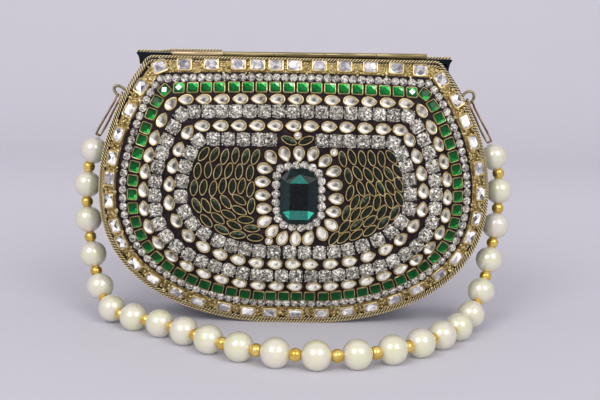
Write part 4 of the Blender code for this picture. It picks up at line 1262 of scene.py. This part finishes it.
def sparkle(lean=0.0, shades=(0.22, 0.36, 0.46, 0.55, 0.64, 0.8)):
    """Tones of a clear stone: bright and dark facets side by side, painted reflections."""
    shift = rng.uniform(-0.06, 0.06) + lean

    def tone(middle, normal, world, facing):
        return rng.choice(shades) + shift

    return tone


# Border row: square crystals in gold frames, with nuggets between them
BORDER = [
    (14, 5.6), (26.4, 6.8), (37.6, 8.9), (48.9, 13), (59.1, 18), (69.6, 25.5), (77.3, 33.4), (83.2, 43.6),
    (86.1, 52.3), (87.7, 64.3), (86.3, 76.1), (83.1, 88.3), (79, 97.9), (74.8, 107.8), (67.4, 117.3),
    (57.5, 121.3), (46.3, 122), (34.2, 122.2), (22.2, 122.4), (10.5, 122.5), (-1.2, 122.4), (-9.7, 122.2),
    (-18.3, 122.3), (-27.2, 122.3), (-39.7, 122.1), (-52.1, 121.8), (-63.5, 120.7), (-71.8, 111.2),
    (-76.9, 100.2), (-82, 89), (-84.8, 78), (-86.3, 68.4), (-86.8, 58), (-83.8, 46.2), (-80.8, 38.6),
    (-74.7, 28.1), (-66.3, 21), (-55.1, 15), (-44.9, 10.6), (-32.5, 8.1), (-21.1, 6.1), (-10.6, 5.6),
    (1.4, 5.4),
]
STONE = 0.0025
STONE_PITCH = 0.0073  # room along the row that a stone with its frame takes
GRAIN_PITCH = 0.00024  # run between two grains of a nugget
LONG = (1.0, 1.2, 1.0)
LOW_ROWS, SLANTED = 0.03, 0.0697  # height below which stones lie low, and where the border turns down
border_loop = Loop(whole_loop(0.0058, 0.0057, 0.0058, 0.0032, 0.0035, 0.0004, (0.0004, 0.0)))
border = Batch()
# The strip's darker gold is painted shade between the nuggets.
strip_on_front(border, border_loop, 0.0034, 0.0004, 4, 420, 3, 0.00018)
crystal = window_stone(STONE, 0.0017)
setting = cup(rounded(STONE, STONE, SQUARE, 20, 0.5), 0.00058, -0.0006, 0.0014)
border_seats = sorted((border_loop.nearest(x * MM, z * MM), x * MM, z * MM) for x, z in BORDER)


def border_tones(slanted, low):
    """White and grey facets of painted reflection. Stones at the bag's sides show a dark half of painted
    shade, and low stones more often a bright painted table.
    """
    kind = rng.random() + 0.35 * low
    side_facets = [rng.choice((0.42, 0.58, 0.78, 1.0)) for _ in range(8)]
    table = [rng.choice((0.34, 0.44, 0.54, 0.68)) for _ in range(4)]
    if slanted and kind < 0.65:
        dark = rng.randrange(4)
        for k in range(4):
            table[k] = 0.12 if k == dark else rng.choice((0.72, 0.95, 1.0))
        side_facets = [rng.choice((0.3, 0.6, 0.85, 1.0)) for _ in range(8)]
    elif kind > 0.75:
        table = [rng.choice((0.66, 0.8, 0.95, 1.05)) for _ in range(4)]
    tones = [0.5] * 8
    for k in range(4):
        tones += [side_facets[2 * k], side_facets[2 * k + 1], (side_facets[2 * k] + table[k]) / 2, table[k]]
    return tones


for s, x, z in border_seats:
    spot = seat(x, z, border_loop.heading(s), 0.0002)
    set_stone(border, spot, crystal, setting, border_tones(x * x > SLANTED**2, z < LOW_ROWS), LONG, (0, 2))
border_ends = [s for s, _, _ in border_seats] + [border_seats[0][0] + border_loop.length]
for here, after in zip(border_ends, border_ends[1:]):
    gap = after - here - STONE_PITCH
    if gap < 0.0008:
        continue
    for _ in range(int(gap / GRAIN_PITCH)):
        s = here + STONE_PITCH / 2 + gap * rng.random()
        x, z = border_loop.at(s)
        heading = border_loop.heading(s, 0.003)
        aside = rng.uniform(-0.0033, 0.0033)
        nx, nz = x + aside * math.cos(heading), z - aside * math.sin(heading)
        if nz > HEIGHT - 0.0024:
            continue
        size = rng.uniform(0.0004, 0.00085)
        border.place(BALL, seat(nx, nz, rng.uniform(0, 6), size * 0.75), 3, 0.5, (size, size, size * 0.9))
bag_piece(border, "border_crystals", "border_crystal_row", "clear_crystal", WINDOW, NUGGET_GOLD, RIM_GOLD,
          NUGGET_GOLD, STRIP_GOLD, smooth=(3,))

# Small rhinestones
LEANS = (0.0023, 0.0006)
ARCH = 0.00085
small_loop = Loop(whole_loop(0.01225, 0.0113, 0.0106, 0.0080, 0.0012, ARCH, LEANS))
small = Batch()
small_stone = brilliant(0.00198, 0.0015, sides=7)
small_cup = cup(rounded(0.0018, 0.0018, 2.0, 12), 0.00012, -0.0004, 0.0004)
round_stone = brilliant(0.00155, 0.0013, sides=7)
round_cup = cup(rounded(0.00155, 0.00155, 2.0, 16), 0.00036, -0.0004, 0.0009)
places = [(-63.3, 115.7), (-59.6, 115.7), (-55.7, 115.8), (-51.8, 115.9), (-47.9, 116), (-44.1, 116.1),
          (-40.3, 116.2), (-36.7, 116.2), (-32.9, 116.3), (-29, 116.4)]
for s in filled_runs(small_loop, places, 3.93):
    spot = seat(*small_loop.at(s), rng.uniform(0, 1))
    set_stone(small, spot, small_stone, small_cup, sparkle(-0.12))
bag_piece(small, "small_rhinestones", "small_rhinestone_row", "clear_crystal", SPARK, RIM_GOLD)

# Green square stones
green_loop = Loop(whole_loop(0.0172, 0.0162, 0.01455, 0.01255, 0.0012, ARCH, LEANS))
green = Batch()
GREEN_HALF = 0.00242
green_stone = step_square(GREEN_HALF, 0.0015)
green_cup = cup(rounded(GREEN_HALF, GREEN_HALF, SQUARE, 16, 0.5), 0.00030, -0.0005, 0.0010)
# A flash: a painted highlight over a stone's whole table.
FLASHES = ((-60.6, 109.8), (-54.2, 111), (55, 110.5))  # stones whose whole table shines
places = [(-74.2, 74.9), (-72.6, 81), (-70.6, 87), (-68.5, 92.5), (-65.8, 98.8), (-63.4, 104.2),
          (-60.6, 109.8), (-54.2, 111), (-47.8, 111.5), (-41.6, 111.8), (-35.5, 112), (-28.8, 112.1),
          (-16.1, 14.6), (-10.5, 14.6), (-4.2, 14.6), (1.8, 14.6), (8, 14.6), (14.6, 14.6), (20.6, 14.6)]


def green_tone(top, flash, low):
    """Deep green, with one corner of painted highlight: the upper right along the top, the lower end
    elsewhere. Stones away from the top get painted shade; at the bottom they are darkest and the highlight is
    dull."""
    lit = np.array((0.62, 0.0, 0.78)) if top else np.array((0.25, 0.0, -0.97))
    shade = rng.uniform(-0.08, 0.08) - (0.0 if top else 0.2 if low else 0.13)

    def tone(middle, normal, world, facing):
        side = float(np.dot(world, lit)) / GREEN_HALF
        if math.hypot(middle[0], middle[1]) < 0.1 * GREEN_HALF:
            return 1.15 if flash else 0.44 + shade
        if side > 0.42:
            return (0.56 if low else 0.88) + shade + rng.uniform(-0.08, 0.08)
        return 0.44 + shade + 0.2 * side + rng.uniform(-0.07, 0.07)

    return tone


for s in filled_runs(green_loop, places, 6.3):
    x, z = green_loop.at(s)
    spot = seat(x, z, green_loop.heading(s))
    flash = any(math.hypot(x - fx * MM, z - fz * MM) < 0.003 for fx, fz in FLASHES)
    tone = green_tone(z > 0.1 and abs(x) < 0.058, flash, z < LOW_ROWS)
    set_stone(green, spot, green_stone, green_cup, tone)
bag_piece(green, "green_stones", "green_stone_row", "green_glass", GREEN, GREEN_RIM)


def soft_step(value, low, high):
    t = min(max((value - low) / (high - low), 0.0), 1.0)
    return t * t * (3 - 2 * t)


def drop_tone(angle, light):
    """Clear drops, all painted reflection and shade: a white crescent of painted highlight at the lower end,
    a greyer upper end, a dark painted reflection in the middle and painted shade round the edge.
    """
    reach_z = abs(math.cos(angle)) * DROP_L + abs(math.sin(angle)) * DROP_W
    reach_x = abs(math.cos(angle)) * DROP_W + abs(math.sin(angle)) * DROP_L
    # Where the dark painted reflection lies, and how deep it is.
    dark_reflection_x, dark_reflection_z = rng.uniform(-0.1, 0.35), rng.uniform(-0.15, 0.35)
    strength = rng.uniform(0.38, 0.6)

    def tone(here, world):
        level, aside = world[2] / reach_z, world[0] / reach_x
        edge = math.hypot(here[0] / DROP_W, here[1] / DROP_L)
        dark = math.exp(-(((level - dark_reflection_z) / 0.40) ** 2) - ((aside - dark_reflection_x - 0.2 * level) / 0.26) ** 2)
        # Drops along the bottom, and the halo's lower ones, carry a lighter painted reflection.
        if light:
            base = 0.82 - 0.14 * soft_step(level, 0.1, 0.9) - 0.55 * dark * rng.uniform(0.0, 1.2)
        else:
            base = 0.60 - strength * dark + 0.14 * soft_step(-aside, 0.2, 0.7)
            base += 0.60 * soft_step(-level - 0.45 * aside, 0.25, 0.45)
        # Painted shade round the edge.
        base -= 0.34 * soft_step(edge, 0.80, 0.98)
        return base + rng.uniform(-0.09, 0.09)

    return tone


DROP_W, DROP_L = 0.00218, 0.00328
drop = drop_stone(DROP_W, DROP_L, 0.0021)
drop_cup = cup(drop_outline(DROP_W, DROP_L), 0.00046, -0.0004, 0.0011)


def drop_row(loop, places, pitch, top_flip, bottom_flip, name, node):
    """A row of drops. Their tips point along the loop, and turn about at the flips along top and bottom."""
    batch = Batch()
    for s in filled_runs(loop, places, pitch):
        x, z = loop.at(s)
        heading = loop.heading(s, 0.002)
        level = abs(math.cos(heading)) < 0.6
        if level and z > 0.06:
            ahead = x < top_flip
        elif level:
            ahead = x > bottom_flip
        else:
            ahead = x > 0
        angle = heading if ahead else heading + math.pi
        tone = drop_tone(angle, level and z < 0.06)
        set_stone(batch, seat(x, z, angle), drop, drop_cup, tone, pointwise=True)
    bag_piece(batch, name, node, "clear_crystal", CLEAR, RIM_GOLD, smooth=(0,))


outer_drop_loop = Loop(whole_loop(0.0225, 0.0214, 0.0199, 0.0179, 0.0012, ARCH, (0.0014, 0.0)))
places = [(-69.5, 73.1), (-66.8, 80.6), (-64.6, 88.5), (-61.2, 96.4), (-57.7, 104.1), (-50.7, 105.6),
          (-42.6, 105.7), (-34.4, 106.7), (-7.9, 19.9), (0.6, 19.9), (9.7, 19.9), (17.9, 19.9)]
drop_row(outer_drop_loop, places, 8.35, 0.004, 0.002, "outer_teardrops", "outer_teardrop_row")
inner_drop_loop = Loop(whole_loop(0.0343, 0.0328, 0.0310, 0.02965, 0.0025, ARCH, bulge=0.0018))
places = [(-57.7, 67.6), (-56.4, 76.1), (-53.8, 84), (-50.1, 92), (-43, 94.2), (-34.6, 94.7), (40.1, 94.1),
          (47.9, 94.5), (52.7, 90.6), (55.9, 82.6), (58.7, 74.8), (59.7, 66.4), (-57.2, 59), (-54, 51.1),
          (-48.9, 44), (-42.2, 38.8), (-8.8, 31), (-0.3, 31), (8, 31), (17.3, 31), (42.4, 39.7), (49.6, 43.9),
          (55.7, 49.8), (58.9, 57.9)]
drop_row(inner_drop_loop, places, 8.4, 0.004, -0.007, "inner_teardrops", "inner_teardrop_row")

# Large rhinestones
BIG = 0.00325
PRONG_AT, PRONG_UP, PRONG = BIG * 0.80, 0.0011, (0.0003, 0.0003, 0.0005)
big_stone = brilliant(BIG, 0.0026, power=2.6, sides=10)


def big_row(loop, runs, name, node, extra=None):
    """A row of large stones, each with a prong at its four corners."""
    batch = Batch()
    for s in runs:
        origin, axes = spot = seat(*loop.at(s), loop.heading(s))
        batch.place(big_stone, spot, 0, sparkle(-0.03, (0.26, 0.38, 0.46, 0.5, 0.56, 0.72)))
        for sx in (-1, 1):
            for sy in (-1, 1):
                place = origin + np.array((sx * PRONG_AT, sy * PRONG_AT, PRONG_UP)) @ axes
                batch.place(BALL, (place, axes), 3, 0.62, PRONG)
    if extra:
        extra(batch)
    bag_piece(batch, name, node, "clear_crystal", CUT, RIM_GOLD, LEAF, SPARK)


outer_big_loop = Loop(whole_loop(0.0278, 0.0270, 0.0252, 0.0233, 0.0016, ARCH))
places = [(-63.5, 75.5), (-60.5, 81.3), (-59.1, 87.4), (-56, 93.7), (-53.8, 100.1), (-46.9, 100.5),
          (-40.3, 100.4), (-34.1, 101), (-27.8, 101.3), (-17, 25.2), (-12.5, 25.2), (-5.5, 25.2), (1.4, 25.2),
          (8.3, 25.2), (14.9, 25.2), (21.3, 25.2)]
outer_runs = filled_runs(outer_big_loop, places, 6.57)
big_row(outer_big_loop, outer_runs, "outer_rhinestones", "outer_rhinestone_row")

LEAF_W, LEAF_L = 0.00152, 0.0036
leaf = leaf_stone(LEAF_W, LEAF_L, 0.0016)
leaf_cup = cup(leaf_outline(LEAF_W, LEAF_L), 0.00034, -0.0004, 0.0009)


def leaf_tone(gleam):
    """Dark facets with painted light, lighter where they face up or left. A gleaming stone's lower facets
    carry a painted highlight.
    """

    def tone(middle, normal, world, facing):
        base = 0.27 + 0.22 * max(facing[2], 0.0) + 0.20 * max(-facing[0], 0.0)
        if gleam and facing[2] < -0.12:
            base = 0.62
        return base + rng.uniform(-0.12, 0.16)

    return tone


def leaf_at(batch, x, z, angle, stone_slot=0):
    spot = seat(x * MM, z * MM, math.radians(angle))
    set_stone(batch, spot, leaf, leaf_cup, leaf_tone(rng.random() < 0.3), slots=(stone_slot, 1))


def round_at(batch, x, z, slot, lean):
    set_stone(batch, seat(x * MM, z * MM), round_stone, round_cup, sparkle(lean), slots=(slot, 1))


def top_middle(batch):
    """Two dark leaf stones and a small round one that break the row at its top middle."""
    leaf_at(batch, -3.2, 88.6, -66, 2)
    leaf_at(batch, 4.7, 88.7, 66, 2)
    round_at(batch, 0.8, 90.9, 3, 0.2)


inner_big_loop = Loop(whole_loop(0.0398, 0.0388, 0.03655, 0.0362, 0.0035, 0.0001, bulge=0.0018))
INNER_BIG = [
    (-52.4, 69), (-52.4, 61.9), (-50.6, 75.7), (-47.9, 81.9), (-45.1, 88.3), (-37.8, 88.8), (-31, 88.7),
    (-24, 88.7), (-17.3, 88.8), (-11.7, 88.7), (12, 89), (18.4, 89), (24.6, 89.1), (31.1, 88.7),
    (37.8, 88.4), (44.8, 88.9), (49.4, 84.1), (51.8, 78.2), (53.4, 71.7), (53.6, 64.8), (-50.2, 55.1),
    (-46.9, 49.5), (-41.7, 45.2), (-35.1, 41.6), (-28.8, 39.7), (-22.6, 37.6), (-16, 37), (-9.3, 36.6),
    (-2, 36.5), (5, 36.5), (11.9, 36.6), (18.6, 37.2), (25, 38.6), (31.9, 40.3), (38.7, 43.4), (45, 47),
    (49.9, 51.5), (53.1, 58),
]
inner_runs = sorted(inner_big_loop.nearest(x * MM, z * MM) for x, z in INNER_BIG)
big_row(inner_big_loop, inner_runs, "inner_rhinestones", "inner_rhinestone_row", top_middle)

# Leaf-stone fields
LEFT_LEAVES = [
    (-42.1, 81.7, 35), (-37.2, 81.5, 27), (-32.5, 80.6, 16), (-27.6, 81.2, 7), (-22.9, 80.8, 15),
    (-18.4, 80.8, 20), (-44.9, 73.8, 6), (-40.1, 74.3, 4), (-35.7, 73.6, 17), (-30.6, 74.3, 17),
    (-25.9, 73.8, 9), (-20.9, 73.4, 8), (-46.5, 66, 6), (-42.2, 66.3, 11), (-37.7, 65.8, 12),
    (-33.4, 67.1, 11), (-28.9, 66.9, 6), (-24.6, 67.2, 13), (-20.5, 65.7, 12), (-45.2, 57.9, -27),
    (-40.9, 57.8, -28), (-36.5, 58.3, -31), (-31.8, 59.7, -36), (-25.7, 60.8, -56), (-25.6, 55.9, -63),
    (-20.1, 58, 8), (-40.7, 50.7, -43), (-35.4, 52, -51), (-30.5, 53.7, -61), (-33.6, 46.8, -62),
    (-27.8, 48.8, -63), (-22.6, 51.5, -88), (-26.1, 44.4, -88), (-19.7, 47.5, -87), (-18.1, 43.2, -88),
]
RIGHT_LEAVES = [
    (21.7, 80.5, -15), (25.9, 81.5, -22), (30.6, 80.9, -13), (35, 81.1, -16), (39.5, 80.9, -11),
    (44.1, 81.9, -40), (24.5, 72.8, -13), (28.7, 74.1, -31), (33.7, 73.4, -31), (38.1, 73.8, -30),
    (43.1, 74.1, -32), (47.2, 75.3, -36), (25.4, 64.8, 14), (30.3, 67, -22), (35.2, 66.8, -30),
    (39.5, 67.1, -25), (44, 67.6, -31), (47.9, 69.1, -24), (27.8, 60.6, 25), (32.5, 61, 29),
    (38.1, 60.6, 7), (43.6, 61.5, -22), (48.3, 62.5, -26), (24, 55.4, 17), (28.2, 54.8, 32), (33.5, 56, 43),
    (40.4, 56.1, 27), (46.4, 56, 26), (23.3, 49, 38), (28.9, 49.9, 48), (35, 51.8, 49), (41.4, 51.2, 40),
    (18.6, 43.5, 33), (23.1, 43.9, 48), (28.9, 45.3, 51), (35.1, 47.3, 52),
]
for name, node, leaves, (round_x, round_z) in (
    ("left_leaf_stones", "left_leaf_field", LEFT_LEAVES, (-11.6, 41.6)),
    ("right_leaf_stones", "right_leaf_field", RIGHT_LEAVES, (17.6, 83.5)),
):
    batch = Batch()
    for x, z, angle in leaves:
        leaf_at(batch, x, z, angle)
    round_at(batch, round_x, round_z, 2, 0.1)
    bag_piece(batch, name, node, "dark_leaf", LEAF, RIM_GOLD, SPARK)

# ---------------------------------------------------------------- centre ornament

HALO = [
    (-11.2, 80.7, 144), (-5, 82.3, 157), (1.5, 82.5, 177), (7.8, 82.4, -154), (13.4, 79.3, -131),
    (17.5, 74.6, -107), (18.2, 68.4, -88), (19, 62, -86), (17.9, 55.9, -89), (16.9, 49.9, -54),
    (12.8, 45.8, -28), (6.7, 43.5, 25), (0.7, 43.2, 3), (-5.3, 43.3, 27), (-10.1, 46.5, 43),
    (-13.7, 51, 65), (-14, 56.9, 88), (-14.8, 63.1, 90), (-14.9, 69.4, 89), (-14, 75.5, 100),
]
HALO_SIZE = (1.03, 1.01, 1.0)
halo = Batch()
for x, z, degrees in HALO:
    angle = math.radians(degrees)
    spot = seat(x * MM, z * MM, angle)
    set_stone(halo, spot, drop, drop_cup, drop_tone(angle, z < 55), HALO_SIZE, pointwise=True)
bag_piece(halo, "halo_teardrops", "centre_halo", "clear_crystal", CLEAR, RIM_GOLD, smooth=(0,))

CHAIN = [
    (-6.9, 75.6), (-3.3, 76.5), (0.4, 77), (4.2, 77.2), (7.9, 76.1), (10.8, 73.5), (12, 70), (12, 66),
    (12.2, 62), (12.4, 58.2), (12.1, 54.1), (10.1, 50.9), (6.9, 49), (3.1, 48.3), (-0.9, 48.5),
    (-4.9, 49.4), (-7.5, 52.3), (-8.1, 55.9), (-8.6, 59.8), (-8.7, 63.8), (-8.7, 68), (-8.5, 72.2),
]
chain = Batch()
chain_stone = brilliant(0.00203, 0.0016, sides=7)
for x, z in CHAIN:
    spot = seat(x * MM, z * MM, rng.uniform(0, 1), 0.0002)
    chain.place(chain_stone, spot, 0, sparkle(-0.06))
    chain.place(small_cup, spot, 1, 0.5, (1.05, 1.05, 1.0))
bag_piece(chain, "chain_rhinestones", "centre_chain", "clear_crystal", SPARK, RIM_GOLD)

# Octagonal stone: its points in mm, rounds of eight below and at the girdle, then the crown and the table
STONE_X, STONE_Z = 0.00174, 0.06305
gem_origin = np.array((STONE_X, front_y(STONE_X, STONE_Z), STONE_Z))
gem_axes = np.array(((1, 0, 0), (0, 0, 1), (0, -1, 0.0)))
GIRDLE = [
    (-3.8, -12.9), (3.8, -12.9), (8.6, -8.4), (8.6, 8.4), (3.8, 12.9), (-3.8, 12.9), (-8.6, 8.4), (-8.6, -8.4)
]
GEM_POINTS = [(x * 0.93, y * 0.95, 1.2) for x, y in GIRDLE] + [(x, y, 2.9) for x, y in GIRDLE]
GEM_POINTS += [
    (-4.4, -10.6, 4.2), (4.4, -10.6, 4.2), (7.2, -7.2, 4.2), (6.2, 7.2, 4.2), (0.3, 10.4, 4.3),
    (-6.2, 7.2, 4.2), (-7.2, -7.2, 4.2), (-4.2, -6.3, 5.1), (4.2, -6.3, 5.1), (4.3, 6.3, 5.1),
    (-4.3, 6.3, 5.1),
]
# Each face's tone, the girdle's band included, is painted light and shade: the facets' bright and dark
# reflections.
GEM_FACES = [
    ((8, 9, 17, 16), 0.18), ((9, 10, 18, 17), 0.36), ((10, 11, 19, 18), 0.20), ((11, 12, 20, 19), 0.13),
    ((12, 13, 20), 0.09), ((13, 14, 21, 20), 0.16), ((14, 15, 22, 21), 0.24), ((15, 8, 16, 22), 0.38),
    ((16, 17, 24, 23), 0.70), ((17, 18, 24), 0.93), ((18, 19, 25, 24), 0.16), ((19, 20, 25), 0.10),
    ((20, 26, 25), 0.70), ((21, 26, 20), 0.14), ((21, 22, 23, 26), 0.28), ((22, 16, 23), 0.86),
    ((23, 24, 25, 26), 0.02),
]
gem = Batch()
gem.add(
    [gem_origin + np.array(p) * MM @ gem_axes for p in GEM_POINTS],
    quads(2, 8) + [face for face, _ in GEM_FACES],
    0,
    [0.15] * 8 + [tone for _, tone in GEM_FACES],
)
bag_piece(gem, "octagonal_stone", "centre_stone", "teal_stone", TEAL)

# ---------------------------------------------------------------- floor, backdrop and light


STAGE_STOPS = [
    (0.0, (198, 197, 209)), (0.25, (199, 197, 209)), (0.45, (210, 208, 220)), (0.65, (208, 206, 218)),
    (0.85, (201, 199, 211)),
]
SKY_STOPS = [
    (0.0, (180, 176, 170)), (0.46, (184, 180, 173)), (0.56, (220, 217, 210)), (0.72, (248, 245, 239)),
    (1.0, (255, 252, 246)),
]
SKY_STRENGTH = 0.72
STAGE_NEAR, STAGE_BEND, STAGE_RADIUS, STAGE_TOP, STAGE_HALF = -3.0, 0.8, 0.6, 3.0, 3.5


def stage_material():
    """One colour for floor and backdrop, a little lighter beyond the bag."""
    made, tree, shader = new_material("stage", Roughness=0.7, Specular_IOR_Level=0.1)
    split = add_node(tree, "SeparateXYZ", {"Vector": coords_of(tree)})
    far = ranged(tree, split.outputs["Y"], 0.0, 1.0, -0.5, 1.5)
    cloud = ranged(tree, noise_node(tree, 5.0, 2.0), -0.01, 0.01)
    paint(tree, shader, STAGE_STOPS, plus(tree, far, cloud))
    return made


curve = [(STAGE_NEAR, 0.0), (STAGE_BEND, 0.0)]
curve += [
    (STAGE_BEND + STAGE_RADIUS * math.sin(a), STAGE_RADIUS * (1 - math.cos(a)))
    for a in np.linspace(0.12, math.pi / 2, 12)
]
curve.append((STAGE_BEND + STAGE_RADIUS, STAGE_TOP))
points = [(x, y, z) for y, z in curve for x in (-STAGE_HALF, STAGE_HALF)]
floor = link("floor", mesh_of("floor", points, quads(len(curve), 2, ring=False)), stage_material())

world = bpy.data.worlds.new("studio")
scene.world = world
world.use_nodes = True
tree = world.node_tree
back = tree.nodes["Background"]
split = add_node(tree, "SeparateXYZ", {"Vector": add_node(tree, "TexCoord", {}).outputs["Generated"]})
sky = ramp_node(tree, SKY_STOPS, ranged(tree, split.outputs["Z"], 0.0, 1.0, -1.0, 1.0))
tree.links.new(sky, back.inputs["Color"])
back.inputs["Strength"].default_value = SKY_STRENGTH


def soft_lamp(name, place, aim_height, size, power):
    data = bpy.data.lights.new(name, "AREA")
    data.shape = "RECTANGLE"
    data.size, data.size_y = size
    data.energy = power
    lamp = bpy.data.objects.new(name, data)
    scene.collection.objects.link(lamp)
    lamp.location = place
    lamp.rotation_euler = (Vector((0.0, 0.0, aim_height)) - Vector(place)).to_track_quat("-Z", "Y").to_euler()
    return lamp


KEY_SIZE = (1.45, 1.45)
soft_lamp("key_left", (-1.44, -2.2, 2.0), 0.05, KEY_SIZE, 30.5)
soft_lamp("key_right", (1.44, -2.2, 2.0), 0.05, KEY_SIZE, 25.5)
fill = soft_lamp("low_fill", (0.0, -1.7, 0.30), 0.03, (1.6, 0.3), 17.0)
fill.visible_glossy = False
